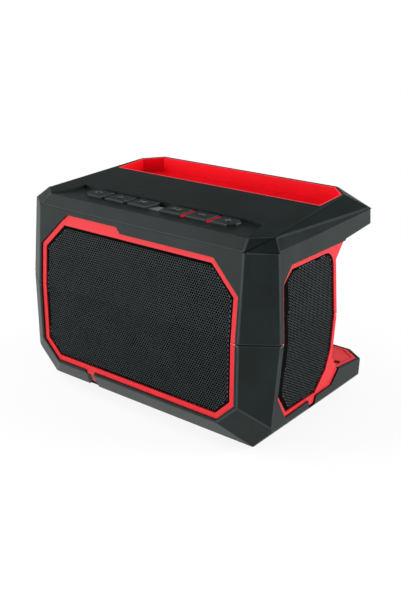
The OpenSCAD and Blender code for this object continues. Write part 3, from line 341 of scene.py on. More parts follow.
def sheet_outline(node, across):
    """The convex outline of a CAD sheet in a plane, in millimetres, in steps of OUTLINE_STEP or less.

    The sheet's points are projected on the axes named by across and their 2-D hull is taken.
    """
    co = gathered(nodes[node].data.vertices, "co", 3)
    flat = np.unique(np.round(co[:, across] * 1000, 3), axis=0)
    hull, _, faces, *_ = delaunay_2d_cdt(
        [tuple(p) for p in flat], [], [], WHOLE_HULL, OUTLINE_MERGE
    )
    tri = np.array(faces)
    sides = np.sort(np.r_[tri[:, [0, 1]], tri[:, [1, 2]], tri[:, [2, 0]]], axis=1)
    rim, uses = np.unique(sides, axis=0, return_counts=True)
    corner = np.array(hull)[np.unique(rim[uses == 1])]
    angle = np.arctan2(*(corner - corner.mean(axis=0)).T[::-1])
    corner = corner[np.argsort(angle)]
    ahead = np.roll(corner, -1, axis=0)
    steps = np.maximum(1, np.ceil(np.linalg.norm(ahead - corner, axis=1) / OUTLINE_STEP)).astype(int)
    base = np.repeat(np.arange(len(corner)), steps)
    part = (np.arange(len(base)) - np.repeat(np.cumsum(steps) - steps, steps)) / steps[base]
    return corner[base] + part[:, None] * (ahead - corner)[base]


def plain_depth(outline, border, spots):
    """How far each spot lies inside the plain border, as the least distance over all sides.

    A side's border is the mean of the four widths, weighted by the squares of its outward direction.
    """
    side = np.roll(outline, -1, axis=0) - outline
    inward = np.c_[-side[:, 1], side[:, 0]] / np.linalg.norm(side, axis=1)[:, None]
    low, high = inward.clip(0) ** 2, (-inward).clip(0) ** 2
    width = np.c_[low[:, 0], high[:, 0], low[:, 1], high[:, 1]] @ np.array(border)
    depth = spots @ inward.T - np.einsum("ij,ij->i", outline, inward)
    return (depth - width).min(axis=1)


def hexagons(outline, turned, border):
    """Six corners of every hole, round the points of a triangular lattice inside the plain border."""
    low, high = outline.min(axis=0), outline.max(axis=0)
    middle = (low + high) / 2
    reach = int(max(high - low) / SHEET_PITCH) + 2
    i, j = np.meshgrid(np.arange(-reach, reach), np.arange(-reach, reach))
    u = SHEET_PITCH * (i + 0.5 * (j % 2))
    v = SHEET_PITCH * math.sqrt(0.75) * j
    spots = np.c_[u.ravel(), v.ravel()]
    spin = math.radians(30)
    if turned:
        spots = spots[:, ::-1]
        spin = 0.0
    spots = spots + middle
    spots = spots[plain_depth(outline, border, spots) > HOLE_R]
    turn = spin + np.arange(HOLE_SIDES) * 2 * math.pi / HOLE_SIDES
    return spots[:, None] + HOLE_R * np.stack([np.cos(turn), np.sin(turn)], axis=1)


def outer_face(node, depth_axis, outwards):
    """The outer face of a CAD sheet as a broken line over z.

    It gives the lowest height, that of the fold and the highest, and the outermost depth at each.
    """
    co = gathered(nodes[node].data.vertices, "co", 3) * 1000
    heights = np.unique(np.round(co[:, 2], 1))
    heights = heights[[0, np.argmin(np.abs(heights - FOLD_Z)), -1]]
    level = [co[np.abs(co[:, 2] - h) < LEVEL_SLACK][:, depth_axis] for h in heights]
    return heights, [outwards * (outwards * s).max() for s in level]


def faced_outwards(mesh, weld=None):
    """Turns a mesh's faces outwards, after points within weld metres of each other are merged."""
    shape = bmesh.new()
    shape.from_mesh(mesh)
    if weld:
        bmesh.ops.remove_doubles(shape, verts=shape.verts, dist=weld)
    bmesh.ops.recalc_face_normals(shape, faces=shape.faces)
    shape.to_mesh(mesh)
    shape.free()


def perforated(node, name, across, depth_axis, turned, border, outwards):
    """A sheet with holes: triangles between outline and hexagons, front and back, joined by walls.

    The depth at each height comes from the CAD sheet's outer face, a broken line over z, and the back
    lies SHEET_SKIN behind it. The plain border along the outline and the walls of the holes are painted
    near black, a painted shade.
    """
    outline = sheet_outline(node, across)
    holes = hexagons(outline, turned, border)
    flat = np.r_[outline, holes.reshape(-1, 2)]
    n, m = len(outline), len(holes)
    loop = np.c_[np.arange(n), np.roll(np.arange(n), -1)]
    ring = n + HOLE_SIDES * np.arange(m)[:, None] + np.arange(HOLE_SIDES)
    rings = np.stack([ring, np.roll(ring, -1, axis=1)], axis=2).reshape(-1, 2)
    borders = np.r_[loop, rings]
    out, _, faces, *_ = delaunay_2d_cdt(
        [tuple(p) for p in flat], [tuple(e) for e in borders.tolist()], [], INSIDE_ONLY, SHEET_MERGE
    )
    tri = np.array(faces)
    flat = np.array(out)
    hole_of = np.where(tri >= n, (tri - n) // HOLE_SIDES, -1 - tri)
    web = ~((hole_of[:, 0] == hole_of[:, 1]) & (hole_of[:, 1] == hole_of[:, 2]))
    tri = tri[web]
    outer = np.interp(flat[:, 1], *outer_face(node, depth_axis, outwards))
    faces_3d = []
    for depth in (outer, outer - outwards * SHEET_SKIN):
        points = np.empty((len(flat), 3))
        points[:, across] = flat
        points[:, depth_axis] = depth
        faces_3d.append(points)
    k = len(flat)
    walls = np.c_[borders, borders[:, ::-1] + k]
    mesh = bpy.data.meshes.new(name)
    mesh.from_pydata(
        (np.r_[faces_3d[0], faces_3d[1]] / 1000).tolist(), [],
        tri.tolist() + (tri[:, ::-1] + k).tolist() + walls.tolist()
    )
    mesh.materials.append(mesh_coat)
    mesh.materials.append(painted_shade_black)
    # The border strip and the hole walls take the near-black painted shade.
    painted_shade_strip = (plain_depth(outline, border, flat[tri].mean(axis=1)) < 0) | (tri < n).any(axis=1)
    finish = np.r_[painted_shade_strip, painted_shade_strip, np.ones(len(walls), bool)].astype(np.int32)
    mesh.polygons.foreach_set("material_index", finish)
    faced_outwards(mesh)
    piece = placed(name, mesh)
    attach(piece, "housing")
    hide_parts(node)


perforated("front_grille", "front_grille_sheet", (0, 2), 1, False, FRONT_BORDER, -1)
for side, outwards in (("left", -1), ("right", 1)):
    perforated(
        side + "_grille", side + "_grille_sheet", (1, 2), 0, True, SIDE_BORDER, outwards
    )

# Dust cloths
# Black woven polyester, one piece behind each perforated sheet and glued to its rim. They show only
# as darkness in the holes.
CLOTH_IN = 0.4
CLOTH_BACK = 0.75
CLOTH_GRID = 4.0
CLOTH_ROWS = 40
# The lattice keeps this far from the rim, on all four sides.
CLOTH_RIM = (1, 1, 1, 1)

# Woven polyester: dull black threads. Their spacing of about 0.3 mm is drawn at 0.6 mm so that it
# shows.
THREAD = 0.6
cloth = bpy.data.materials.new("black woven polyester")
cloth.use_nodes = True
tree = cloth.node_tree
where = add(tree, "ShaderNodeSeparateXYZ", [
    ("Vector", add(tree, "ShaderNodeTexCoord").outputs["Object"])
])
along = add(tree, "ShaderNodeMath", [
    (0, where.outputs["X"]), (1, where.outputs["Y"])
], operation="ADD")
waves = []
for run in (along.outputs[0], where.outputs["Z"]):
    phase = add(tree, "ShaderNodeMath", [
        (0, run), (1, 2000 * math.pi / THREAD)
    ], operation="MULTIPLY")
    waves.append(add(tree, "ShaderNodeMath", [(0, phase.outputs[0])], operation="SINE").outputs[0])
cross = add(tree, "ShaderNodeMath", [(0, waves[0]), (1, waves[1])], operation="MULTIPLY")
raise_by = add(tree, "ShaderNodeMapRange", [
    ("Value", cross.outputs[0]), ("From Min", -1.0), ("From Max", 1.0)
])
thread = add(tree, "ShaderNodeMix", [
    ("Factor", raise_by.outputs[0]), ("A", linear("#040505")), ("B", linear("#0d0e0f"))
], data_type="RGBA")
bump = add(tree, "ShaderNodeBump", [
    ("Height", raise_by.outputs[0]), ("Strength", 1.0), ("Distance", 0.0001)
])
shader = tree.nodes["Principled BSDF"]
tree.links.new(thread.outputs["Result"], shader.inputs["Base Color"])
tree.links.new(bump.outputs[0], shader.inputs["Normal"])
shader.inputs["Roughness"].default_value = 0.95
shader.inputs["Specular IOR Level"].default_value = 0.1


def stretched(node, name, across, depth_axis, outwards):
    """A cloth over the sheet's outline, drawn in by CLOTH_IN towards the middle.

    Outline and lattice points are triangulated, and lie CLOTH_BACK behind the sheet's outer face. A row
    of the lattice lies on the fold.
    """
    outline = sheet_outline(node, across)
    inwards = outline.mean(axis=0) - outline
    outline = outline + CLOTH_IN * inwards / np.linalg.norm(inwards, axis=1)[:, None]
    low, high = outline.min(axis=0), outline.max(axis=0)
    rows = FOLD_Z + CLOTH_GRID * np.arange(-CLOTH_ROWS, CLOTH_ROWS + 1)
    columns = np.arange(low[0], high[0], CLOTH_GRID)
    lattice = np.stack(np.meshgrid(columns, rows), axis=-1).reshape(-1, 2)
    lattice = lattice[plain_depth(outline, CLOTH_RIM, lattice) > 0]
    flat = np.r_[outline, lattice]
    n = np.arange(len(outline))
    rim = np.c_[n, np.roll(n, -1)]
    out, _, faces, *_ = delaunay_2d_cdt(
        [tuple(p) for p in flat], [tuple(e) for e in rim.tolist()], [], INSIDE_ONLY, SHEET_MERGE
    )
    flat, tri = np.array(out), np.array(faces)
    heights, ends = outer_face(node, depth_axis, outwards)
    points = np.empty((len(flat), 3))
    points[:, across] = flat
    points[:, depth_axis] = np.interp(flat[:, 1], heights, ends) - outwards * CLOTH_BACK
    points = points / 1000
    facing = np.cross(points[tri[:, 1]] - points[tri[:, 0]], points[tri[:, 2]] - points[tri[:, 0]])
    if facing[:, depth_axis].sum() * outwards < 0:
        tri = tri[:, ::-1]
    mesh = bpy.data.meshes.new(name)
    mesh.from_pydata(points.tolist(), [], tri.tolist())
    piece = placed(name, mesh)
    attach(piece, "housing")
    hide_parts("grille_cloth")
    dress(piece, cloth)


stretched("front_grille", "front_cloth", (0, 2), 1, -1)
for side, outwards in (("left", -1), ("right", 1)):
    stretched(
        side + "_grille", side + "_cloth", (1, 2), 0, outwards
    )

# Push buttons
# Six caps of satin black ABS in one row, each on its own stem, with a raised moulded symbol on top,
# painted a paler grey as a highlight.

# Satin black ABS: near black with a soft sheen. Its rounded edges are painted a little paler, and the
# raised symbols a dull grey: both a painted highlight.
button_abs = moulded(
    "satin black ABS", "#0b1212", "#121a1a", patch=10, grain=0.7, relief=0.02,
    rough=(0.46, 0.56), gloss=0.35
)
# Painted highlight: the paler grey of the caps' rounded edges.
cap_edge_highlight = moulded(
    "satin ABS painted edge highlight", "#15191a", "#1f2424", patch=4, grain=0.7, relief=0.01,
    rough=(0.45, 0.55), gloss=0.3
)
# Painted highlight: the symbols are painted paler grey for the light their raised edges catch.
symbol_highlight_grey = moulded(
    "symbol painted highlight grey", "#3a4243", "#4d5556", patch=3, grain=0.6, relief=0.01,
    rough=(0.5, 0.6), gloss=0.3
)
CAP_EASE = 0.0006
# Sizes of the symbols in millimetres: how far they stand out of the cap and reach into it, the width
# of a curved line, the height of an upright one, and the length and width of the plus and minus bars
SYMBOL_H = 0.45
SYMBOL_SINK = 0.05
LINE_W = 0.75
UPRIGHT_H = 4.4
BAR_L = 5.2
BAR_W = 1.0
CURVE_POINTS = 25
DOT_POINTS = 24


def bar(x, y, w, h):
    """A rectangle from its middle, width and height."""
    return np.array([x, y]) + np.array([(-w, -h), (w, -h), (w, h), (-w, h)]) / 2


def arc(x, y, r, w, first, last):
    """A band of width w round a middle, from one angle to another, in degrees."""
    turn = np.radians(np.linspace(first, last, CURVE_POINTS))
    ray = np.stack([np.cos(turn), np.sin(turn)], axis=1)
    return np.array([x, y]) + np.r_[(r - w / 2) * ray, (r + w / 2) * ray[::-1]]


def dot(x, y, r):
    """A disc from its middle and radius."""
    turn = np.arange(DOT_POINTS) * 2 * math.pi / DOT_POINTS
    return np.array([x, y]) + r * np.stack([np.cos(turn), np.sin(turn)], axis=1)


def wedge(x, y, w, h):
    """A triangle that points along the sign of w, from the middle of its upright side."""
    return np.array([x, y]) + np.array([(0, -h / 2), (w, 0), (0, h / 2)])


symbols = {
    "power": [arc(0, -0.2, 2.5, LINE_W, 125, 415), bar(0, 1.6, LINE_W, 2.8)],
    "pairing": [
        dot(-1.6, -1.6, 0.8), arc(-1.6, -1.6, 2.2, LINE_W, 0, 90), arc(-1.6, -1.6, 3.9, LINE_W, 0, 90)
    ],
    "back": [bar(-2.5, 0, 0.8, UPRIGHT_H), wedge(2.3, 0, -4.0, UPRIGHT_H)],
    "play": [
        wedge(-3.4, 0, 3.8, UPRIGHT_H), bar(1.5, 0, 0.9, UPRIGHT_H), bar(3.3, 0, 0.9, UPRIGHT_H)
    ],
    "minus": [bar(0, 0, BAR_L, BAR_W)],
    "plus": [bar(0, 0, BAR_L, BAR_W), bar(0, 1.6, BAR_W, 2.1), bar(0, -1.6, BAR_W, 2.1)]
}


def raised(label, outlines):
    """Prisms on a cap: each outline is lifted from SYMBOL_SINK under the cap's top to SYMBOL_H above."""
    low, high = (np.array(corner) * 1000 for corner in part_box(label + "_button"))
    middle = (low + high) / 2
    points, faces = [], []
    for outline in outlines:
        n = len(outline)
        first = sum(len(p) for p in points)
        turn = np.arange(n)
        flat = outline + middle[:2]
        points.append(np.c_[flat, np.full(n, high[2] - SYMBOL_SINK)])
        points.append(np.c_[flat, np.full(n, high[2] + SYMBOL_H)])
        faces.append((first + turn[::-1]).tolist())
        faces.append((first + n + turn).tolist())
        ahead = np.roll(turn, -1)
        faces.extend((first + np.c_[turn, ahead, ahead + n, turn + n]).tolist())
    mesh = bpy.data.meshes.new(label + "_symbol")
    mesh.from_pydata((np.concatenate(points) / 1000).tolist(), [], faces)
    faced_outwards(mesh)
    piece = placed(label + "_symbol", mesh)
    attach(piece, label + "_button")
    dress(piece, symbol_highlight_grey)


for label, outlines in symbols.items():
    node = label + "_button"
    eased(node, label + "_cap", CAP_EASE, button_abs, cap_edge_highlight, node)
    raised(label, outlines)

# Status lens
# A small light guide of clear polycarbonate, pressed into the button bed in the middle gap of the
# row. It passes the light of the control board.
HAZE = 1.5

# Clear polycarbonate: polished, and milky grey from a haze inside.
clear = bpy.data.materials.new("clear polycarbonate")
clear.use_nodes = True
tree = clear.node_tree
where = add(tree, "ShaderNodeTexCoord").outputs["Object"]
haze = add(tree, "ShaderNodeTexNoise", [("Vector", where), ("Scale", 1000 / HAZE)])
milky = add(tree, "ShaderNodeMix", [
    ("Factor", haze.outputs["Fac"]), ("A", linear("#41484a")), ("B", linear("#555c5e"))
], data_type="RGBA")
shader = tree.nodes["Principled BSDF"]
tree.links.new(milky.outputs["Result"], shader.inputs["Base Color"])
shader.inputs["Roughness"].default_value = 0.2
shader.inputs["IOR"].default_value = 1.58
dress(nodes["status_lens"], clear)

# Baffles
# Three boards of black glass-filled ABS inside the housing. The front one carries the two drivers, the
# side ones a passive radiator each.

# Glass-filled black ABS: dark grey and dry, slightly streaked by the fibres.
baffle_abs = moulded(
    "glass-filled black ABS", "#141617", "#212425", patch=6, grain=0.9, relief=0.03,
    rough=(0.55, 0.7), gloss=0.3
)
for place in ("front", "left", "right"):
    dress(nodes[place + "_baffle"], baffle_abs)

# Drivers
# Two full-range drivers: a stamped and painted steel basket, a pressed paper cone, a rolled rubber
# surround that bends as the cone moves, and a ferrite magnet behind. Four screws hold each on the
# front baffle.

# Painted steel: charcoal with an even half gloss.
painted_steel = moulded(
    "painted steel", "#1a1c1e", "#24272a", patch=14, grain=0.6, relief=0.01,
    rough=(0.4, 0.5), gloss=0.5
)
# Rolled butyl rubber: near black, with a soft sheen along the roll.
rolled_rubber = moulded(
    "rolled butyl rubber", "#101111", "#181919", patch=8, grain=0.8, relief=0.02,
    rough=(0.5, 0.62), gloss=0.4
)
# Width of the roll, height of the flat rim and thickness of the rubber in millimetres
ROLL_W = 6.0
LIP_H = 0.9
RUBBER_T = 0.7
ROLL_POINTS = 13
ROLL_CREASE = 50
SECTORS = 12
SECTOR_STEPS = 4


def rolled(node, axis, outwards):
    """A rubber surround: a section of flat rim and half-round roll, turned about the axis.

    Radii and height come from the CAD solid's points. The ring is cut into SECTORS, each a piece of its
    own.
    """
    co = gathered(nodes[node].data.vertices, "co", 3) * 1000
    low, high = co.min(axis=0), co.max(axis=0)
    middle = (low + high) / 2
    u, v = (axis + 1) % 3, (axis + 2) % 3
    reach = np.hypot(co[:, u] - middle[u], co[:, v] - middle[v])
    inner, outer = reach.min(), reach.max()
    tall = (high - low)[axis]
    base = (low if outwards > 0 else high)[axis]
    bend = np.linspace(0, math.pi, ROLL_POINTS)
    crown = inner + ROLL_W / 2
    over = np.c_[crown - ROLL_W / 2 * np.cos(bend), LIP_H + (tall - LIP_H) * np.sin(bend)]
    hollow = np.c_[crown + (ROLL_W / 2 - RUBBER_T) * np.cos(bend), (tall - RUBBER_T) * np.sin(bend)]
    section = np.r_[[(inner, 0)], over, [(outer, LIP_H), (outer, 0)], hollow]
    n = len(section)

    def swept(angle, radius, height):
        """Points at an angle, radius and height over the rim's foot."""
        spot = np.empty((*np.broadcast_shapes(np.shape(angle), np.shape(radius)), 3))
        spot[..., u] = middle[u] + radius * np.cos(angle)
        spot[..., v] = middle[v] + radius * np.sin(angle)
        spot[..., axis] = base + outwards * height
        return spot / 1000

    for k in range(SECTORS):
        name = "%s_sector_%02d" % (node, k + 1)
        angle = (k + np.arange(SECTOR_STEPS + 1) / SECTOR_STEPS) * 2 * math.pi / SECTORS
        points = swept(angle[:, None], section[:, 0], section[:, 1]).reshape(-1, 3)
        i = np.arange(len(points)).reshape(-1, n)
        ahead = np.roll(i, -1, axis=1)
        faces = np.stack([i[:-1], ahead[:-1], ahead[1:], i[1:]], axis=2).reshape(-1, 4).tolist()
        faces += [i[0, ::-1].tolist(), i[-1].tolist()]
        if outwards < 0:
            faces = [face[::-1] for face in faces]
        mesh = bpy.data.meshes.new(name)
        mesh.from_pydata(points.tolist(), [], faces)
        mesh.shade_smooth()
        mesh.set_sharp_from_angle(angle=math.radians(ROLL_CREASE))
        piece = placed(name, mesh)
        ray = angle.mean()
        tuple(swept(ray, inner + ROLL_W, 0))
        tuple(swept(ray, inner + RUBBER_T, 0))
        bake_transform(piece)
        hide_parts(node)
        dress(piece, rolled_rubber)


# Pressed paper: dark grey pulp, with fibres of about 1.5 mm
paper_cone = moulded(
    "pressed paper", "#1f2021", "#343536", patch=1.5, grain=0.5, relief=0.05,
    rough=(0.8, 0.92), gloss=0.2
)
# Ferrite: sintered and ground, dark grey with a slight sparkle
ferrite = moulded(
    "sintered ferrite", "#26282a", "#3a3d40", patch=5, grain=0.7, relief=0.03,
    rough=(0.45, 0.6), gloss=0.6
)
for side in ("left", "right"):
    dress(nodes[side + "_driver_frame"], painted_steel)
    rolled(side + "_driver_surround", 1, -1)
    dress(nodes[side + "_driver_cone"], paper_cone)
    dress(nodes[side + "_driver_magnet"], ferrite)

# Passive radiators
# A turned aluminium plate on each side baffle, moved by the air inside. The rolled rubber surround
# that holds it bends with it.


def metal(name, deep, pale, patch, grain, relief, rough):
    """Bare or plated metal: the drift and grain of a moulding, with the shader's Metallic at 1."""
    material = moulded(name, deep, pale, patch, grain, relief, rough, gloss=0.5)
    material.node_tree.nodes["Principled BSDF"].inputs["Metallic"].default_value = 1.0
    return material


# Turned aluminium: bright silver, slightly clouded by the tool.
turned_aluminium = metal(
    "turned aluminium", "#b4b7ba", "#c6c9cb", patch=9, grain=0.6, relief=0.01, rough=(0.3, 0.42)
)
for side, outwards in (("left", -1), ("right", 1)):
    rolled(side + "_radiator_surround", 0, outwards)
    dress(nodes[side + "_radiator_plate"], turned_aluminium)

# Boards
# Glass-epoxy circuit boards with a green solder mask: the control board under the buttons and the main
# board on the floor. Their parts are soldered on top.

# Solder-masked glass epoxy: deep green and glossy, mottled by the copper under it.
solder_mask = moulded(
    "solder-masked glass epoxy", "#0d3b22", "#16512f", patch=3, grain=0.8, relief=0.03,
    rough=(0.3, 0.42), gloss=0.5
)
for board in ("control_board", "main_board"):
    dress(nodes[board], solder_mask)

# Moulded epoxy: warm dark grey with a fine mould grain.
part_epoxy = moulded(
    "moulded epoxy", "#2b2c2e", "#3c3d40", patch=4, grain=0.5, relief=0.02,
    rough=(0.5, 0.65), gloss=0.4
)
for part in ("tact_switches", "board_components"):
    dress(nodes[part], part_epoxy)

# Tin-plated steel: pale silver with a slight haze.
tin_plate = metal(
    "tin-plated steel", "#a7a9ab", "#bcbec0", patch=5, grain=0.6, relief=0.01, rough=(0.32, 0.45)
)
dress(nodes["radio_module"], tin_plate)

# Battery dock
# A plate with two hooked rails for a slide-on battery pack, moulded in black glass-filled nylon and
# screwed to the rear wall. Three brass blades stand in its block.
DOCK_EASE = 0.0004

# Glass-filled black nylon: near black and half dull. Its rounded edges are paler: worn by the packs,
# and a painted highlight.
dock_nylon = moulded(
    "glass-filled black nylon", "#131516", "#1f2223", patch=5, grain=0.8, relief=0.03,
    rough=(0.48, 0.62), gloss=0.35
)
# Paler rounded edges: wear from the packs and a painted highlight.
dock_edge_wear_and_highlight = moulded(
    "black nylon edge wear and highlight", "#22282a", "#2e3436", patch=4, grain=0.8, relief=0.02,
    rough=(0.4, 0.5), gloss=0.4
)
eased("battery_dock", "battery_dock_moulding", DOCK_EASE, dock_nylon, dock_edge_wear_and_highlight)

# Stamped brass: warm yellow, lightly clouded.
brass = metal(
    "stamped brass", "#c39a4c", "#d8b164", patch=4, grain=0.6, relief=0.01, rough=(0.25, 0.38)
)
dress(nodes["dock_terminals"], brass)

# Screws
# Thread-forming pan-head screws of blackened steel with a six-lobed socket. They hold the covers, the
# two halves, the bay's fittings, the drivers, the boards and the dock.
TURN_STEPS = 36
TURN_CREASE = 32
LOBES = 6
POLE_WELD = 1e-6
# Shares of the head's radius: radii of the socket's floor and mouth, and what splits head from shank
SOCKET_FLOOR = 0.4
SOCKET_MOUTH = 0.44
SHANK_BELOW = 0.8
HEAD_FROM = 0.9
# Share of the socket's radius by which its lobes stand out and in
LOBE = 0.16
# Shares of the head's height: depth of the socket, radius of the crown's round
SOCKET_DEPTH = 0.6
CROWN_ROUND = 0.35
CROWN_POINTS = 5
# Shares of the shank's radius: neck, core and wave of the thread, shoulder and end of the tip
NECK = 0.86
CORE = 0.88
THREAD_WAVE = 0.09
SHOULDER = 0.7
TIP = 0.5
# Lengths in millimetres: pitch, plain shank under the head and before the tip, and the tip itself
THREAD_PITCH = 1.3
PLAIN_TOP = 0.3
PLAIN_END = 0.8
TIP_L = 0.3
PITCH_STEPS = 5

# Blackened steel: dark grey with a dull metal sheen.
black_oxide = metal(
    "blackened steel", "#2b2c2e", "#3b3c3f", patch=3, grain=0.5, relief=0.01, rough=(0.36, 0.5)
)


def islands(node):
    """The points of each separate solid of a node, in millimetres, rounded to micrometres.

    Every point starts with a label of its own, and joined points take the lowest one of each other.
    """
    data = nodes[node].data
    co = gathered(data.vertices, "co", 3)
    spots, index = np.unique(np.round(co * 1e6), axis=0, return_inverse=True)
    ends = index.ravel()[gathered(data.edges, "vertices", 2, int)]
    label = np.arange(len(spots))
    while True:
        low = label.copy()
        np.minimum.at(low, ends[:, 0], label[ends[:, 1]])
        np.minimum.at(low, ends[:, 1], label[ends[:, 0]])
        if (low == label).all():
            return [spots[label == k] / 1000 for k in np.unique(label)]
        label = low


def lathe(name, rows, finish, node):
    """Turned bodies: each row of radius, lobe, wave, place along the axis and turn makes a ring.

    The ring's radius is radius * (1 + lobe * cos LOBES a) + wave * cos(a - turn) over the angle a. rows
    has a list for each turned body: its axis, its middle and the table of its rings.
    """
    angle = np.arange(TURN_STEPS) * 2 * math.pi / TURN_STEPS
    points, faces, first = [], [], 0
    for axis, middle, table in rows:
        radius, lobe, wave, place, turn = np.array(table, float).T[:, :, None]
        reach = radius * (1 + lobe * np.cos(LOBES * angle)) + wave * np.cos(angle - turn)
        ring = np.empty((*reach.shape, 3))
        ring[..., (axis + 1) % 3] = middle[(axis + 1) % 3] + reach * np.cos(angle)
        ring[..., (axis + 2) % 3] = middle[(axis + 2) % 3] + reach * np.sin(angle)
        ring[..., axis] = place
        i = first + np.arange(ring.shape[0] * TURN_STEPS).reshape(ring.shape[0], TURN_STEPS)
        ahead = np.roll(i, -1, axis=1)
        faces.append(np.stack([i[:-1], ahead[:-1], ahead[1:], i[1:]], axis=2).reshape(-1, 4))
        points.append(ring.reshape(-1, 3) / 1000)
        first += i.size
    mesh = bpy.data.meshes.new(name)
    mesh.from_pydata(np.concatenate(points).tolist(), [], np.concatenate(faces).tolist())
    faced_outwards(mesh, POLE_WELD)
    mesh.shade_smooth()
    mesh.set_sharp_from_angle(angle=math.radians(TURN_CREASE))
    piece = placed(name, mesh)
    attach(piece, "housing")
    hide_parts(node)
    dress(piece, finish)


def screw_rings(points, axis):
    """A screw's rings from its CAD solid: socket, crowned head, threaded shank and tip.

    The head is where the solid is widest. The thread's wave turns once in each THREAD_PITCH.
    """
    low, high = points.min(axis=0), points.max(axis=0)
    middle = (low + high) / 2
    out = np.delete(points - middle, axis, axis=1)
    radius = np.linalg.norm(out, axis=1)
    along = points[:, axis]
    head_r = radius.max()
    shank_r = radius[radius < SHANK_BELOW * head_r].max()
    head = along[radius > HEAD_FROM * head_r]
    sign = 1 if head.mean() > middle[axis] else -1
    top = sign * (sign * head).max()
    seat = sign * (sign * head).min()
    tip = sign * (sign * along).min()
    tall = abs(top - seat)
    socket = top - sign * SOCKET_DEPTH * tall
    rings = [
        (0, 0, 0, socket, 0), (SOCKET_FLOOR * head_r, LOBE, 0, socket, 0),
        (SOCKET_MOUTH * head_r, LOBE, 0, top, 0)
    ]
    crown = np.linspace(0, math.pi / 2, CROWN_POINTS)
    round_r = CROWN_ROUND * tall
    rings += np.c_[
        head_r - round_r + round_r * np.sin(crown), 0 * crown, 0 * crown,
        top - sign * round_r * (1 - np.cos(crown)), 0 * crown
    ].tolist()
    rings += [(head_r, 0, 0, seat, 0), (NECK * shank_r, 0, 0, seat, 0)]
    place = np.arange(
        seat - sign * PLAIN_TOP, tip + sign * PLAIN_END, -sign * THREAD_PITCH / PITCH_STEPS
    )
    core = np.full(len(place), CORE * shank_r)
    wave = np.full(len(place), THREAD_WAVE * shank_r)
    rings += np.c_[core, 0 * place, wave, place, place / THREAD_PITCH * 2 * math.pi].tolist()
    rings += [
        (SHOULDER * shank_r, 0, 0, tip + sign * TIP_L, 0), (TIP * shank_r, 0, 0, tip, 0),
        (0, 0, 0, tip, 0)
    ]
    return axis, middle, rings


for holds in ("cover", "base", "housing", "panel", "shelf", "board", "driver", "dock"):
    node = holds + "_screws"
    axis = 1 if holds in ("driver", "dock") else 2
    lathe(
        node + "_turned", [screw_rings(points, axis) for points in islands(node)], black_oxide,
        node
    )

# Feet
# Four pads of soft black rubber, each moulded with two rings that grip the table and pressed into a
# round pocket of the base.

# Shares of the foot's radius: the inner ring, where the outer ring starts, and the slope between
INNER_RING = (0.36, 0.54)
OUTER_RING = 0.76
RING_SLOPE = 0.06
# Shares of the foot's height: depth of the grooves, and radius and middle of the rounded rim
GROOVE = 0.3
FOOT_EASE = 0.4
EASE_MIDDLE = 0.3

# Soft black rubber: near black and dull.
foot_rubber = moulded(
    "soft black rubber", "#0f1010", "#191a1a", patch=5, grain=0.8, relief=0.03,
    rough=(0.7, 0.85), gloss=0.25
)


def foot_rings(points):
    """A foot's rings from its CAD solid: two gripping rings with grooves between, and a rounded rim."""
    low, high = points.min(axis=0), points.max(axis=0)
    r = (high - low)[0] / 2
    tall = (high - low)[2]
    groove = GROOVE * tall
    ease = FOOT_EASE * tall
    first, last = INNER_RING
    steps = [
        (0, groove), ((first - RING_SLOPE) * r, groove), (first * r, 0), (last * r, 0),
        ((last + RING_SLOPE) * r, groove), ((OUTER_RING - RING_SLOPE) * r, groove),
        (OUTER_RING * r, 0), (r - ease, 0), (r - EASE_MIDDLE * ease, EASE_MIDDLE * ease), (r, ease),
        (r, tall), (0, tall)
    ]
    return 2, (low + high) / 2, [(a, 0, 0, low[2] + z, 0) for a, z in steps]


lathe(
    "rubber_feet_turned", [foot_rings(points) for points in islands("rubber_feet")], foot_rubber,
    "rubber_feet"
)

# Studio
# A floor of white paper that fades to white, a large lamp from the front left, one from the rear
# right and one from above, and the camera of the photograph.


def seen(tree):
    """One where the background is looked at, straight, in gloss or through glass, and else zero."""
    path = add(tree, "ShaderNodeLightPath")
    direct = add(tree, "ShaderNodeMath", [
        (0, path.outputs["Is Camera Ray"]), (1, path.outputs["Is Glossy Ray"])
    ], operation="MAXIMUM")
    through = add(tree, "ShaderNodeMath", [
        (0, direct.outputs[0]), (1, path.outputs["Is Transmission Ray"])
    ], operation="MAXIMUM")
    return through.outputs[0]


# White paper: matt and near white. Where it is looked at it glows up to pure white away from the
# object, and it keeps the object's shadow.
white = bpy.data.materials.new("white paper sweep")
white.use_nodes = True
tree = white.node_tree
tree.nodes.clear()
paper = add(tree, "ShaderNodeBsdfDiffuse", [("Color", linear("#f2f2f2"))])
glow = add(tree, "ShaderNodeEmission", [("Color", linear("#ffffff")), ("Strength", 1.0)])
where = add(tree, "ShaderNodeTexCoord").outputs["Object"]
away = add(tree, "ShaderNodeVectorMath", [(0, where)], operation="LENGTH")
share = add(tree, "ShaderNodeMapRange", [
    ("Value", away.outputs["Value"]), ("From Min", 0.16), ("From Max", 0.6),
    ("To Min", 0.86), ("To Max", 1.0)
])
pale = add(tree, "ShaderNodeMixShader", [
    (0, share.outputs[0]), (1, paper.outputs[0]), (2, glow.outputs[0])
])
blend = add(tree, "ShaderNodeMixShader", [
    (0, seen(tree)), (1, paper.outputs[0]), (2, pale.outputs[0])
])
add(tree, "ShaderNodeOutputMaterial", [("Surface", blend.outputs[0])])

# Half the floor's side in metres
FLOOR = 30.0
floor_mesh = bpy.data.meshes.new("floor")
floor_mesh.from_pydata(
    [(-FLOOR, -FLOOR, 0), (FLOOR, -FLOOR, 0), (FLOOR, FLOOR, 0), (-FLOOR, FLOOR, 0)], [],
    [(0, 1, 2, 3)]
)
floor = placed("floor", floor_mesh)
floor_mesh.materials.append(white)

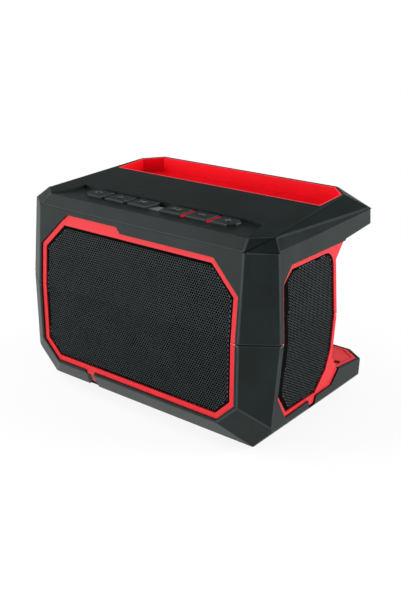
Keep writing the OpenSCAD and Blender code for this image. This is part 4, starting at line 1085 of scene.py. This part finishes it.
# White walls that darken upwards. What lights the object is an even, weaker white.
world = bpy.data.worlds.new("studio")
bpy.context.scene.world = world
world.use_nodes = True
tree = world.node_tree
tree.nodes.clear()
aim = add(tree, "ShaderNodeSeparateXYZ", [
    ("Vector", add(tree, "ShaderNodeTexCoord").outputs["Generated"])
])
backdrop = add(tree, "ShaderNodeMapRange", [
    ("Value", aim.outputs["Z"]), ("From Min", 0.1), ("From Max", 0.31),
    ("To Min", 1.0), ("To Max", 0.03)
])
strength = add(tree, "ShaderNodeMix", [
    ("Factor", seen(tree)), ("A", 0.45), ("B", backdrop.outputs[0])
])
sky = add(tree, "ShaderNodeBackground", [
    ("Color", (1.0, 1.0, 1.0, 1.0)), ("Strength", strength.outputs[0])
])
add(tree, "ShaderNodeOutputWorld", [("Surface", sky.outputs[0])])


def lamp(name, place, aim, size, power):
    """A square soft box: its back axis points from the aim to its place."""
    data = bpy.data.lights.new(name, "AREA")
    data.size = size
    data.energy = power
    box = placed(name, data)
    back = np.array(place) - np.array(aim)
    back = back / np.linalg.norm(back)
    right = np.cross((0, 0, 1), back)
    right = right / np.linalg.norm(right)
    up = np.cross(back, right)
    turn = np.eye(4)
    turn[:3, :3] = np.stack([right, up, back], axis=1)
    turn[:3, 3] = place
    box.matrix_world = Matrix(turn.tolist())


MIDDLE = (0.0, 0.0, 0.08)
lamp("front left", (-0.8, -1.45, 0.45), MIDDLE, size=0.9, power=24)
lamp("rear right", (1.35, 0.8, 0.6), MIDDLE, size=0.9, power=31)
lamp("above left", (-0.85, -0.45, 1.2), MIDDLE, size=1.0, power=11)

# The camera, as solved from the object's straight edges: its right, up and back axes and its place
EYE_RIGHT = (0.78391208, 0.62085224, 0.00493459)
EYE_UP = (-0.22631883, 0.27833987, 0.93343811)
EYE_BACK = (0.57815365, -0.7328502, 0.35870454)
EYE_PLACE = (0.408684, -0.509929, 0.321846)
eye = bpy.data.cameras.new("photograph")
eye.lens = 52.95
eye.sensor_width = 36.0
eye.sensor_fit = "AUTO"
eye.clip_start = 0.01
stand = placed("photograph", eye)
turn = np.eye(4)
turn[:3] = np.stack([EYE_RIGHT, EYE_UP, EYE_BACK, EYE_PLACE], axis=1)
stand.matrix_world = Matrix(turn.tolist())
bpy.context.scene.camera = stand
bpy.context.scene.view_settings.view_transform = "Standard"
